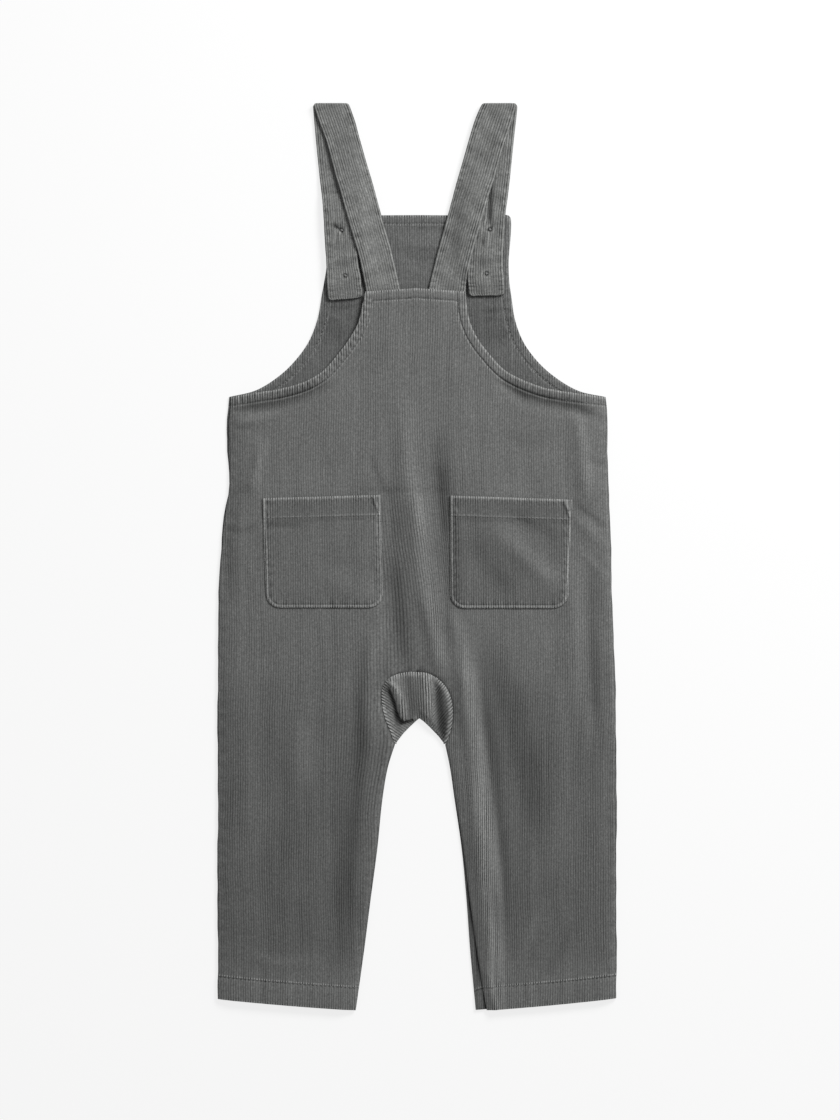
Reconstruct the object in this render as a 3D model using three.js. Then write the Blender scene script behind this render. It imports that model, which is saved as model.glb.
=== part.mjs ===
// Toddler overalls in ribbed corduroy, laid flat with the back up, as they are sewn: a front with its bib,
// a back, a crotch gusset, two double straps buttoned through the bib, and two patch pockets.
// Millimetres. +X is to the right, +Y towards the straps, +Z up from the surface that they lie on.
import * as THREE from 'three';

// Cloth and hardware
const CLOTH = 1.2;          // one layer of corduroy
const STRAP = 2.2;          // a strap is two layers, turned and pressed
const GAP = 0.3;            // air between pieces at seams and between layers
const POCKET_GAP = 0.5;     // a patch pocket stands a little off the panel
const BUTTON_R = 7.5;
const BUTTON_T = 2;
const BUTTON_HOLE_R = 0.9;
const BUTTON_HOLE_SPACING = 2.6;

// Heights of the layers' middles
const FRONT_Z = CLOTH / 2;
const BACK_Z = CLOTH + GAP + CLOTH / 2;
const LOFT = 2.7;           // how far the back stands off the front, away from the seams
const SEAM_ROUND = 14;      // width over which it comes down to a seam
const BIB_LIFT = 2.5;       // the bib lies on its buttons
const BIB_LIFT_FLAT = 14;
const BIB_LIFT_FOOT = 25;
const STRAP_FOLD_Y = 333.0; // where the straps turn over the shoulder
const STRAP_FOLD_R = (STRAP + GAP) / 2;

// The garment's edges
const YOKE_Y = 198;
const BIB_Y = 252.5;
const UNDERARM_Y = 115;
const GUSSET_TOP_Y = -85.5;
const GUSSET_TIP_Y = -139;
const SIDE_AT_GUSSET_Y = -75; // on the side seams, level with the gusset's top
const GUSSET_MIDDLE = new THREE.Vector2(0, -112);
const GUSSET_GAP = 0.4;     // measured towards its middle, so that the seams are GAP apart
const HEM_SAG = 1.1;        // the hems bow a little towards the feet

const table = (columns, rows) => {
  const names = columns.split(' ');
  return rows.map((row) => Object.fromEntries(names.map((name, i) => [name, row[i]])));
};

// Side seams of the back from underarm to hem. The front shows beyond them by the peek.
const sides = table('y left right leftPeek rightPeek', [
  [118, -137.0, 139.2, 2.0, 0.3],
  [100, -138.8, 140.4, 1.9, 0.5],
  [81, -138.4, 140.8, 1.7, 0.4],
  [52, -138.6, 141.2, 0.4, 0.4],
  [28, -142.2, 142.3, 1.1, 0.3],
  [-2, -144.8, 143.4, 0.6, 0.3],
  [-40, -146.6, 144.4, 0.3, 0.3],
  [-75, -147.0, 145.6, 0.3, 0.3],
  [-110, -147.2, 146.8, 0.3, 0.3],
  [-150, -147.0, 147.2, 0.3, 0.3],
  [-217, -147.2, 147.2, 0.3, 0.3],
  [-255, -147.2, 147.2, 0.3, 0.3],
  [-330, -147.0, 147.1, 0.3, 0.3],
]);

// Inner leg seams. On the right leg the front's edge lies out beyond the back's.
const inseams = table('y left rightBack rightFront', [
  [-139, -16.6, 21.2, 20.8],
  [-155, -21.6, 24.6, 24.2],
  [-177, -25.5, 28.2, 27.4],
  [-216, -29.6, 34.5, 33.0],
  [-254, -34.6, 39.4, 36.6],
  [-290, -39.2, 44.4, 39.2],
  [-335.3, -45.5, 51.8, 43.4],
]);

// Hem line of each leg, at its inner and its outer corner
const hems = table('left right', [
  [-335.3, -335.3],
  [-327.0, -326.4],
]);

// Armholes of the back, from the yoke's corners to the underarms
const armholes = table('leftX leftY rightX rightY', [
  [-38.0, 195.5, 35.8, 195.5],
  [-40.6, 184.0, 37.0, 184.0],
  [-43.0, 173.5, 39.2, 173.0],
  [-49.5, 161.5, 44.5, 161.5],
  [-57.5, 150.5, 53.5, 149.5],
  [-69.5, 137.0, 64.5, 138.0],
  [-81.0, 130.0, 77.0, 131.0],
  [-99.0, 124.3, 95.0, 124.5],
  [-119.0, 121.0, 118.0, 120.6],
  [-137.0, 118.0, 139.2, 118.0],
]);

// Edges of the front from the bib's corners to the underarms
const bibEdges = table('leftX leftY rightX rightY', [
  [-68.5, 251.6, 68.8, 251.6],
  [-68.5, 240.0, 69.2, 240.0],
  [-67.4, 226.0, 68.0, 226.0],
  [-67.0, 214.0, 67.8, 212.0],
  [-68.5, 204.0, 68.4, 202.0],
  [-70.5, 193.0, 69.8, 192.0],
  [-73.5, 176.0, 72.5, 175.0],
  [-80.0, 159.0, 78.5, 159.0],
  [-90.0, 145.0, 88.5, 145.0],
  [-102.0, 133.5, 101.0, 133.5],
  [-119.0, 123.0, 119.5, 122.5],
  [-139.0, 118.0, 139.5, 118.0],
]);

// The gusset is folded across the crotch. A row is a share of the way along its seam, from the top to
// a tip, and the place of the fold across from it. Lift stands the pleat's upper flap over the lower.
const gussetSections = table('share leftX leftY leftLift rightX rightY rightLift', [
  [0, 1.5, -119.6, 0.7, 1.5, -119.6, 0.7],
  [0.08, -0.3, -121.2, 0.8, 3.0, -120.5, 0.6],
  [0.17, -2.4, -123.1, 1.0, 5.0, -122.0, 0.5],
  [0.25, -4.8, -125.4, 1.2, 7.0, -123.8, 0.4],
  [0.31, -6.9, -127.4, 1.3, 8.8, -125.5, 0.3],
  [0.335, -7.8, -128.4, 0, 9.5, -126.2, 0.2],
  [0.45, -9.0, -129.6, 0, 11.8, -128.6, 0],
  [0.6, -9.9, -130.6, 0, 13.6, -130.5, 0],
  [0.75, -10.8, -131.8, 0, 15.2, -132.2, 0],
  [0.88, -12.2, -133.5, 0, 16.8, -134.0, 0],
  [0.96, -14.4, -136.4, 0, 18.9, -136.7, 0],
]);

// Seam that the panels have round the gusset, from its top to its tips
const gussetSeams = table('leftX leftY rightX rightY', [
  [0, -85.5, 0, -85.5],
  [-6.0, -85.4, 7.0, -86.2],
  [-15.0, -87.2, 14.5, -89.6],
  [-21.6, -90.9, 20.5, -95.4],
  [-25.6, -97.5, 24.6, -103.5],
  [-26.3, -107.0, 26.3, -113.0],
  [-24.0, -119.0, 25.6, -124.0],
  [-20.6, -128.0, 24.0, -132.0],
  [-16.6, -139.0, 21.2, -139.0],
]);

// Largest folds of the back: soft ridges, and troughs where the height is negative
const folds = table('name x0 y0 x1 y1 x2 y2 height width', [
  ['centre ridge', -1, 105, 5, -2, 13, -78, 1.4, 10],
  ['trough right of it', 20, 95, 25, -5, 23, -66, -0.9, 9],
  ['trough left of it', -14, 60, -15, -10, -12, -72, -0.8, 8],
  ['right leg ridge', 36, -45, 50, -172, 62, -284, 2.0, 9],
  ['trough beside it', 53, -62, 66, -172, 76, -276, -1.1, 9],
  ['left leg trough', -50, -136, -50, -210, -47, -284, -1.2, 11],
  ['left leg inner ridge', -35, -80, -37, -150, -41, -225, 1.2, 7],
  ['left hip ridge', -113, 112, -115, 85, -114, 56, 1.0, 8],
  ['right hip ridge', 124, 110, 125, 84, 124, 55, 1.3, 7],
  ['left armhole roll', -128, 114, -104, 118, -80, 124, 0.9, 5],
  ['right armhole roll', 128, 114, 104, 118, 80, 124, 0.9, 5],
  ['left thigh ridge', -100, -70, -104, -150, -108, -230, 1.0, 10],
]);

// Patch pockets: top corners, bottom corners before rounding
const POCKET_CORNER_R = 10.5;
const pockets = table('name topLeftX topLeftY topRightX topRightY lowLeftX lowRightX lowY', [
  ['pocket_left', -114.0, 43.0, -26.8, 45.5, -111.3, -25.2, -37.8],
  ['pocket_right', 24.4, 45.0, 114.6, 42.0, 24.8, 111.2, -38.2],
]);

// Buttons are sewn to the straps. The upper ones go through the bib and lie under it, the lower ones
// lie loose between the strap and the bib.
const buttons = table('name x y z', [
  ['button_left_upper', -55.5, 241, 0],
  ['button_right_upper', 54.0, 241.5, 0],
  ['button_left_lower', -53.0, 207.5, CLOTH + GAP],
  ['button_right_lower', 51.5, 209.0, CLOTH + GAP],
]);

// Straps. Front rows run from the loose end up to the fold: outer edge, inner edge and height of the
// middle. Back rows run from the fold to the end sewn in under the yoke: over is the height on the
// front stretch, rest the height beside it, and off the share of the width that lies over it.
const strapFronts = {
  left: table('outerX outerY innerX innerY z', [
    [-65.6, 189.6, -40.4, 191.6, 2.8],
    [-66.0, 195.5, -40.2, 197.0, 3.9],
    [-66.3, 200.0, -41.0, 200.5, 5.0],
    [-66.6, 207.5, -41.6, 207.5, 5.1],
    [-67.0, 217.0, -43.4, 217.0, 5.0],
    [-67.5, 229.0, -44.4, 229.0, 5.1],
    [-68.3, 241.0, -44.6, 241.0, 5.3],
    [-69.2, 254.0, -45.2, 254.0, 5.2],
    [-70.0, 264.0, -45.8, 264.0, 4.1],
    [-71.6, 277.0, -47.0, 277.0, 2.0],
    [-72.8, 288.0, -47.8, 288.0, 1.1],
    [-74.6, 306.0, -49.0, 306.0, 1.1],
    [-77.0, STRAP_FOLD_Y, -50.6, STRAP_FOLD_Y, 1.1],
  ]),
  right: table('outerX outerY innerX innerY z', [
    [64.6, 193.4, 38.4, 193.0, 2.8],
    [64.4, 198.6, 38.0, 198.4, 4.0],
    [64.2, 202.0, 37.6, 202.0, 5.0],
    [63.8, 209.0, 37.4, 209.0, 5.1],
    [63.4, 218.0, 37.8, 218.0, 5.0],
    [63.8, 230.0, 38.8, 230.0, 5.1],
    [64.4, 241.5, 40.2, 241.5, 5.3],
    [65.4, 254.0, 41.4, 254.0, 5.2],
    [66.8, 264.0, 42.4, 264.0, 4.1],
    [68.4, 277.0, 43.4, 277.0, 2.0],
    [69.6, 288.0, 44.2, 288.0, 1.1],
    [71.4, 306.0, 46.0, 306.0, 1.1],
    [74.4, STRAP_FOLD_Y, 48.2, STRAP_FOLD_Y, 1.1],
  ]),
};
const strapBacks = {
  left: table('outerX outerY innerX innerY over rest off', [
    [-76.4, STRAP_FOLD_Y, -49.8, STRAP_FOLD_Y, 3.6, 3.6, 1.0],
    [-72.2, 321.0, -45.6, 321.0, 3.6, 3.5, 1.0],
    [-67.0, 307.0, -43.0, 311.0, 3.8, 3.1, 0.78],
    [-60.6, 283.0, -36.8, 289.0, 4.6, 2.9, 0.62],
    [-57.3, 272.0, -33.5, 278.0, 6.2, 2.9, 0.54],
    [-54.0, 260.5, -30.4, 267.0, 7.3, 2.9, 0.44],
    [-48.5, 241.0, -25.0, 247.5, 7.8, 2.9, 0.26],
    [-43.0, 222.5, -19.6, 228.5, 6.4, 2.8, 0.08],
    [-39.6, 206.0, -15.2, 209.5, 3.6, 2.7, 0],
    [-37.6, 197.0, -13.0, 199.5, 2.7, 2.7, 0],
    [-36.4, 187.5, -11.4, 189.5, 2.7, 2.7, 0],
  ]),
  right: table('outerX outerY innerX innerY over rest off', [
    [73.4, STRAP_FOLD_Y, 47.2, STRAP_FOLD_Y, 3.6, 3.6, 1.0],
    [69.6, 320.0, 42.6, 322.0, 3.6, 3.5, 1.0],
    [64.5, 305.0, 38.8, 309.5, 3.8, 3.1, 0.78],
    [57.8, 281.0, 32.6, 287.5, 4.6, 2.9, 0.62],
    [54.2, 270.0, 29.4, 276.5, 6.2, 2.9, 0.54],
    [50.8, 259.0, 26.4, 265.5, 7.3, 2.9, 0.46],
    [44.8, 238.0, 20.8, 245.0, 7.8, 2.9, 0.3],
    [39.8, 219.5, 15.4, 225.0, 6.4, 2.8, 0.14],
    [37.0, 204.5, 11.0, 207.5, 3.6, 2.7, 0],
    [36.0, 197.0, 9.0, 198.5, 2.7, 2.7, 0],
    [35.0, 187.5, 7.6, 189.0, 2.7, 2.7, 0],
  ]),
};

// A smooth curve through a table's rows: the value of one column where another column has the value at
function columnAt(rows, key, column, at) {
  const rising = rows.at(-1)[key] > rows[0][key];
  const list = rising ? rows : rows.toReversed();
  const last = list.length - 1;
  let i = 0;
  while (i < last - 1 && list[i + 1][key] < at) i++;
  const slope = (a, b) => (list[b][column] - list[a][column]) / (list[b][key] - list[a][key]);
  const step = list[i + 1][key] - list[i][key];
  const t = THREE.MathUtils.clamp((at - list[i][key]) / step, 0, 1);
  const here = slope(i, i + 1);
  const before = i > 0 ? (slope(i - 1, i) + here) / 2 : here;
  const after = i + 1 < last ? (slope(i + 1, i + 2) + here) / 2 : here;
  const a = list[i][column];
  const b = list[i + 1][column];
  return (
    a * (1 + 2 * t) * (1 - t) ** 2 + b * t * t * (3 - 2 * t) +
    before * step * t * (1 - t) ** 2 - after * step * t * t * (1 - t)
  );
}

// Rows with their chord length added, so that the line can be walked from 0 to 1
function withLength(rows, x, y) {
  let length = 0;
  return rows.map((row, i) => {
    if (i) length += Math.hypot(row[x] - rows[i - 1][x], row[y] - rows[i - 1][y]);
    return { ...row, length };
  });
}
function lineAt(rows, x, y, t) {
  const walked = withLength(rows, x, y);
  const at = t * walked.at(-1).length;
  return new THREE.Vector2(columnAt(walked, 'length', x, at), columnAt(walked, 'length', y, at));
}

const smoothstep = (x) => THREE.MathUtils.smoothstep(x, 0, 1);
const lerp = THREE.MathUtils.lerp;
const steps = (count) => Array.from({ length: count + 1 }, (_, i) => i / count);

function distanceToSegment(x, y, a, b) {
  const dx = b.x - a.x;
  const dy = b.y - a.y;
  const t = THREE.MathUtils.clamp(((x - a.x) * dx + (y - a.y) * dy) / (dx * dx + dy * dy), 0, 1);
  return Math.hypot(x - a.x - t * dx, y - a.y - t * dy);
}
function distanceToLine(x, y, points) {
  let nearest = Infinity;
  for (let i = 1; i < points.length; i++) {
    nearest = Math.min(nearest, distanceToSegment(x, y, points[i - 1], points[i]));
  }
  return nearest;
}

// Lines that hold the back down to the front: side seams, inner leg seams and the fold of the gusset
const seamLines = [
  sides.map((s) => ({ x: s.left, y: s.y })),
  sides.map((s) => ({ x: s.right, y: s.y })),
  inseams.map((s) => ({ x: s.left, y: s.y })),
  inseams.map((s) => ({ x: s.rightBack, y: s.y })),
  gussetSections.map((s) => ({ x: s.leftX, y: s.leftY })),
  gussetSections.map((s) => ({ x: s.rightX, y: s.rightY })),
];
const foldLines = folds.map((f) => [
  { x: f.x0, y: f.y0 }, { x: f.x1, y: f.y1 }, { x: f.x2, y: f.y2 },
]);

// Height of the middle of the back's cloth
function backHeight(x, y) {
  const seam = Math.min(...seamLines.map((line) => distanceToLine(x, y, line)));
  const rise = 1 - (1 - Math.min(seam / SEAM_ROUND, 1)) ** 2;
  const relief = folds.reduce((sum, fold, i) => (
    sum + fold.height * Math.exp(-((distanceToLine(x, y, foldLines[i]) / fold.width) ** 2))
  ), 0);
  return BACK_Z + (LOFT + relief) * rise;
}

// Height of the middle of the front's cloth: flat on the surface, but raised by the buttons under it
function frontHeight(x, y) {
  const lifts = buttons.filter((b) => b.z === 0).map((b) => {
    const away = Math.hypot(x - b.x, y - b.y);
    return 1 - smoothstep((away - BIB_LIFT_FLAT) / (BIB_LIFT_FOOT - BIB_LIFT_FLAT));
  });
  return FRONT_Z + BIB_LIFT * Math.max(...lifts);
}

// A closed wall of one thickness round the middle surface that patches of points make up
function wall(patches, thickness) {
  const points = [];
  const known = new Map();
  const number = (p) => {
    const key = p.toArray().map((v) => Math.round(v * 1e4)).join();
    if (!known.has(key)) known.set(key, points.push(p) - 1);
    return known.get(key);
  };
  const faces = [];
  for (const patch of patches) {
    const ids = patch.map((row) => row.map(number));
    for (let r = 1; r < ids.length; r++) {
      for (let c = 1; c < ids[r].length; c++) {
        const [a, b, d, e] = [ids[r - 1][c - 1], ids[r - 1][c], ids[r][c], ids[r][c - 1]];
        faces.push([a, e, d], [a, d, b]);
      }
    }
  }
  const normals = points.map(() => new THREE.Vector3());
  for (const [a, b, c] of faces) {
    const across = points[b].clone().sub(points[a]).cross(points[c].clone().sub(points[a]));
    for (const id of [a, b, c]) normals[id].add(across);
  }
  const position = [];
  for (const side of [0.5, -0.5]) {
    points.forEach((p, i) => {
      const q = p.clone().addScaledVector(normals[i].normalize(), side * thickness);
      position.push(q.x, q.y, Math.max(q.z, 0)); // nothing reaches below the surface
    });
  }
  const index = [];
  const under = points.length;
  const edges = new Set(faces.flatMap(([a, b, c]) => [`${a} ${b}`, `${b} ${c}`, `${c} ${a}`]));
  for (const [a, b, c] of faces) index.push(a, b, c, under + a, under + c, under + b);
  for (const edge of edges) {
    const [a, b] = edge.split(' ').map(Number);
    if (!edges.has(`${b} ${a}`)) index.push(a, under + a, under + b, a, under + b, b);
  }
  const geometry = new THREE.BufferGeometry();
  geometry.setAttribute('position', new THREE.Float32BufferAttribute(position, 3));
  geometry.setIndex(index);
  geometry.computeVertexNormals();
  return geometry;
}

// A patch between an outer and an inner line, with the height worked out at each point. Its columns
// run from left to right, so that its faces point up.
function patchBetween(outerAt, innerAt, rowShares, columnShares, heightAt) {
  return rowShares.map((t) => {
    const outer = outerAt(t);
    const inner = innerAt(t);
    return columnShares.map((u) => {
      const p = inner.clone().lerp(outer, u);
      return new THREE.Vector3(p.x, p.y, heightAt(p.x, p.y));
    });
  });
}

// Columns of the back are closer together near the seams, where the cloth rounds down
const acrossBack = [0, 0.04, 0.1, 0.17, 0.25, 0.33, 0.41, 0.49, 0.57, 0.65, 0.73, 0.81, 0.88, 0.94, 0.98, 1];
const acrossFront = steps(9);
const crotchShares = [...gussetSections.map((s) => s.share), 1];

// One half of a panel, from its top edge to its hem
function halfPanel(side, shape, counts, heightAt) {
  const sign = side === 'left' ? -1 : 1;
  const across = sign < 0 ? counts.across.toReversed() : counts.across;
  const centre = (from, to) => (t) => new THREE.Vector2(0, lerp(from, to, t));
  const sideAt = (from, to) => (t) => {
    const y = lerp(from, to, t);
    return new THREE.Vector2(shape.sideX(side, y), y);
  };
  const gussetAt = (t) => lineAt(gussetSeams, `${side}X`, `${side}Y`, t);
  const tip = gussetAt(1);
  const innerHem = hems[0][side];
  const outerHem = hems[1][side];
  const inseamAt = (t) => {
    const y = lerp(tip.y, innerHem, t);
    return t === 0 ? tip : new THREE.Vector2(columnAt(inseams, 'y', shape.inseam(side), y), y);
  };
  const top = (t) => lineAt(shape.edge, `${side}X`, `${side}Y`, t);
  const corner = top(1);
  const body = (t) => (t === 0 ? corner : sideAt(corner.y, SIDE_AT_GUSSET_Y)(t));
  const patches = [
    patchBetween(top, centre(shape.topY, UNDERARM_Y), steps(counts.top), across, heightAt),
    patchBetween(body, centre(UNDERARM_Y, GUSSET_TOP_Y), steps(counts.body), across, heightAt),
    patchBetween(sideAt(SIDE_AT_GUSSET_Y, GUSSET_TIP_Y), gussetAt, crotchShares, across, heightAt),
  ];
  const leg = patchBetween(sideAt(GUSSET_TIP_Y, outerHem), inseamAt, steps(counts.leg), across, heightAt);
  const bottom = leg.at(-1);
  bottom.forEach((p, i) => {
    p.y -= HEM_SAG * Math.sin((Math.PI * i) / (bottom.length - 1));
  });
  return [...patches, leg];
}

function panel(shape, counts, heightAt) {
  return wall(['left', 'right'].flatMap((side) => halfPanel(side, shape, counts, heightAt)), CLOTH);
}

const back = {
  topY: YOKE_Y,
  edge: armholes,
  sideX: (side, y) => columnAt(sides, 'y', side, y),
  inseam: (side) => (side === 'left' ? 'left' : 'rightBack'),
};
const front = {
  topY: BIB_Y,
  edge: bibEdges,
  sideX: (side, y) => {
    const peek = columnAt(sides, 'y', `${side}Peek`, y);
    return columnAt(sides, 'y', side, y) + (side === 'left' ? -peek : peek);
  },
  inseam: (side) => (side === 'left' ? 'left' : 'rightFront'),
};

// Folded gusset: down the back from the seam to the crotch, round the fold, and up the front
function gusset() {
  const turn = [1 / 6, 1 / 3, 1 / 2, 2 / 3, 5 / 6];
  const sections = [
    ...gussetSections.map((s) => ({ side: 'left', share: s.share, x: s.leftX, y: s.leftY, lift: s.leftLift })),
    ...gussetSections.map((s) => ({ side: 'right', share: s.share, x: s.rightX, y: s.rightY, lift: s.rightLift })),
  ];
  const ordered = [...sections.slice(0, gussetSections.length).toReversed(), ...sections.slice(gussetSections.length + 1)];
  const columns = ordered.map((s) => {
    const seam = lineAt(gussetSeams, `${s.side}X`, `${s.side}Y`, s.share);
    seam.addScaledVector(GUSSET_MIDDLE.clone().sub(seam).normalize(), GUSSET_GAP);
    const fold = new THREE.Vector2(s.x, s.y);
    const out = fold.clone().sub(seam).normalize();
    const top = backHeight(fold.x, fold.y);
    const radius = (top - FRONT_Z) / 2;
    const start = fold.clone().addScaledVector(out, -radius - CLOTH / 2);
    const down = steps(5).map((t) => {
      const p = seam.clone().lerp(start, t);
      const lift = s.lift * Math.sin(Math.PI * Math.min(t * 1.25 + 0.08, 1)) ** 0.5;
      const settle = lerp(backHeight(p.x, p.y), top, t ** 3);
      return new THREE.Vector3(p.x, p.y, settle + lift);
    });
    const round = turn.map((t) => {
      const p = start.clone().addScaledVector(out, radius * Math.sin(Math.PI * t));
      return new THREE.Vector3(p.x, p.y, FRONT_Z + radius * (1 + Math.cos(Math.PI * t)));
    });
    const up = steps(4).map((t) => {
      const p = start.clone().lerp(seam, t);
      return new THREE.Vector3(p.x, p.y, FRONT_Z);
    });
    return [...down, ...round, ...up];
  });
  const rows = columns[0].map((_, r) => columns.map((column) => column[r]));
  return wall([rows], CLOTH);
}

// A strap lies on the surface, climbs over the bib and the lower button, and ends loose. At its other
// end it goes down over its own front stretch and in under the yoke.
function strap(side) {
  const across = steps(5);
  const numbered = (rows) => rows.map((row, i) => ({ ...row, i }));
  const sample = (rows, i, column) => columnAt(rows, 'i', column, i);
  const rowOf = (rows, i, heightAt) => across.map((u) => new THREE.Vector3(
    lerp(sample(rows, i, 'outerX'), sample(rows, i, 'innerX'), u),
    lerp(sample(rows, i, 'outerY'), sample(rows, i, 'innerY'), u),
    heightAt(i, u),
  ));
  const fronts = numbered(strapFronts[side]);
  const backs = numbered(strapBacks[side]);
  const frontRows = steps((fronts.length - 1) * 2).map((t) => (
    rowOf(fronts, t * (fronts.length - 1), (i) => sample(fronts, i, 'z'))
  ));
  const backRows = steps((backs.length - 1) * 2).map((t) => (
    rowOf(backs, t * (backs.length - 1), (i, u) => lerp(
      sample(backs, i, 'over'), sample(backs, i, 'rest'), smoothstep((u - sample(backs, i, 'off')) / 0.55),
    ))
  ));
  const lower = frontRows.at(-1);
  const upper = backRows[0];
  const fold = [1 / 5, 2 / 5, 3 / 5, 4 / 5].map((t) => across.map((_, c) => {
    const p = lower[c].clone().lerp(upper[c], t);
    p.y += STRAP_FOLD_R * Math.sin(Math.PI * t);
    p.z = STRAP / 2 + STRAP_FOLD_R * (1 - Math.cos(Math.PI * t));
    return p;
  }));
  const rows = [...frontRows, ...fold, ...backRows];
  return wall([side === 'left' ? rows.map((row) => row.toReversed()) : rows], STRAP);
}

// A patch pocket follows the back under it and has round bottom corners
function pocket(row) {
  const rounds = [0.1, 0.4, 0.7, 0.9, 1];
  const height = row.topLeftY - row.lowY;
  const straight = steps(8).map((t) => t * (1 - POCKET_CORNER_R / height));
  const corner = rounds.map((t) => 1 - (POCKET_CORNER_R / height) * (1 - t));
  const patch = [...straight, ...corner].map((t, r) => {
    const turn = r < straight.length ? 0 : rounds[r - straight.length];
    const inset = POCKET_CORNER_R * (1 - Math.sqrt(1 - turn ** 2));
    const left = lerp(row.topLeftX, row.lowLeftX, t) + inset;
    const right = lerp(row.topRightX, row.lowRightX, t) - inset;
    return steps(10).map((u) => {
      const x = lerp(left, right, u);
      const y = lerp(lerp(row.topLeftY, row.topRightY, u), row.lowY, t);
      return new THREE.Vector3(x, y, backHeight(x, y) + CLOTH + POCKET_GAP);
    });
  });
  return wall([patch], CLOTH);
}

// A flat button with four sewing holes
function button(row) {
  const circle = (x, y, radius, count) => steps(count - 1).map((_, i) => new THREE.Vector2(
    x + radius * Math.cos((2 * Math.PI * i) / count), y + radius * Math.sin((2 * Math.PI * i) / count),
  ));
  const disc = new THREE.Shape(circle(0, 0, BUTTON_R, 28));
  const spread = BUTTON_HOLE_SPACING / 2;
  for (const [sx, sy] of [[1, 1], [1, -1], [-1, 1], [-1, -1]]) {
    disc.holes.push(new THREE.Path(circle(sx * spread, sy * spread, BUTTON_HOLE_R, 8)));
  }
  const geometry = new THREE.ExtrudeGeometry(disc, { depth: BUTTON_T, bevelEnabled: false });
  geometry.translate(row.x, row.y, row.z);
  return geometry;
}

const corduroy = new THREE.MeshStandardMaterial({ color: 0x676767, roughness: 0.95, metalness: 0 });
const strapCloth = new THREE.MeshStandardMaterial({ color: 0x707070, roughness: 0.95, metalness: 0 });
const plastic = new THREE.MeshStandardMaterial({ color: 0x4a4a4a, roughness: 0.4, metalness: 0 });

const overalls = new THREE.Group();
function add(name, geometry, material) {
  const mesh = new THREE.Mesh(geometry, material);
  mesh.name = name;
  overalls.add(mesh);
}

add('front_panel', panel(front, { across: acrossFront, top: 20, body: 6, leg: 7 }, frontHeight), corduroy);
add('back_panel', panel(back, { across: acrossBack, top: 12, body: 13, leg: 12 }, backHeight), corduroy);
add('gusset', gusset(), corduroy);
for (const side of ['left', 'right']) add(`strap_${side}`, strap(side), strapCloth);
for (const row of pockets) add(row.name, pocket(row), corduroy);
for (const row of buttons) add(row.name, button(row), plastic);

export default overalls;
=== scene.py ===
# %% [markdown]
# # Toddler overalls in corduroy, laid flat
# A small pair of overalls lies on its front, so the back faces up. On the real thing every piece is cut
# from ribbed cloth and sewn: a front with a bib, a back, a crotch gusset, two double straps and two
# patch pockets. Each is remade here as a fine grid that a function lays over the plain model's shape,
# because cloth is a thin sheet and a grid is the plainest sheet there is.

# %% Load the frame
import math

import bmesh
import bpy
import numpy as np
from mathutils import Matrix, Vector


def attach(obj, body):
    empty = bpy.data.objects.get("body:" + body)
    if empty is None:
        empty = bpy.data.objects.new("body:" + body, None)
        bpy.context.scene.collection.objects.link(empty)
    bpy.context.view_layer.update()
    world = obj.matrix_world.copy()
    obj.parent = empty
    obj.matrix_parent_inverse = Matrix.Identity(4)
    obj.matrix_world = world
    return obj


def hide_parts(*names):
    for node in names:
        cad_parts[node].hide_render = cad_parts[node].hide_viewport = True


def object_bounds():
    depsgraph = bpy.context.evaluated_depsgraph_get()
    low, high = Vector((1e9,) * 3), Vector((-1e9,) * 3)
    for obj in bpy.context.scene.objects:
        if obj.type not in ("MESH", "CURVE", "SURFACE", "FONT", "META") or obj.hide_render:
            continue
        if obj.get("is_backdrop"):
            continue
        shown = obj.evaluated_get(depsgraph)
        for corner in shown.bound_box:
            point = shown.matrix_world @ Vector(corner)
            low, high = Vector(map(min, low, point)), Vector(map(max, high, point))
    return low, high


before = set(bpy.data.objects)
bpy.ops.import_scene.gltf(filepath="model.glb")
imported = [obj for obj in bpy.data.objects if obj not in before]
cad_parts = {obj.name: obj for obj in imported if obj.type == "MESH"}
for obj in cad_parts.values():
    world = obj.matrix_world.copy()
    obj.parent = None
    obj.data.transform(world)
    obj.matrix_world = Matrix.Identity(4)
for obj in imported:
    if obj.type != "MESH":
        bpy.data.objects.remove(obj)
CAD_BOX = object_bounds()
MM = 0.001
print("plain model's box in mm:", [[round(v / MM, 1) for v in corner] for corner in CAD_BOX])

# %% [markdown]
# ## Camera
# The photograph looks straight down on the garment, so the camera does too, from far enough away that
# the straps and hems are seen square. One pixel of the 840 x 1120 picture is 0.74 mm of cloth.

# %% Camera
PIXEL = 0.74 * MM
PHOTO = (840, 1120)
MIDDLE_PIXEL = (417.0, 556.5)        # where the garment's middle is in the picture
CAMERA_HEIGHT = 2.6
SENSOR = 24.0


def add_object(name, data):
    """A new object in the scene"""
    made = bpy.data.objects.new(name, data)
    bpy.context.scene.collection.objects.link(made)
    return made


camera = add_object("camera", bpy.data.cameras.new("camera"))
camera.data.sensor_fit = "VERTICAL"
camera.data.sensor_height = SENSOR
camera.data.lens = SENSOR * CAMERA_HEIGHT / (PHOTO[1] * PIXEL)
camera.location = (
    (PHOTO[0] / 2 - MIDDLE_PIXEL[0]) * PIXEL,
    (MIDDLE_PIXEL[1] - PHOTO[1] / 2) * PIXEL,
    CAMERA_HEIGHT,
)
bpy.context.scene.camera = camera
print("camera lens", round(camera.data.lens, 1), "mm")

# %% [markdown]
# ## The cut
# These short tables are the garment's edges in millimetres, the same ones that the plain model is built
# from: a row for each section, with a name for each column. A smooth curve through the rows gives the
# edge at any place, which keeps the tables short and the edges fair.

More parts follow.
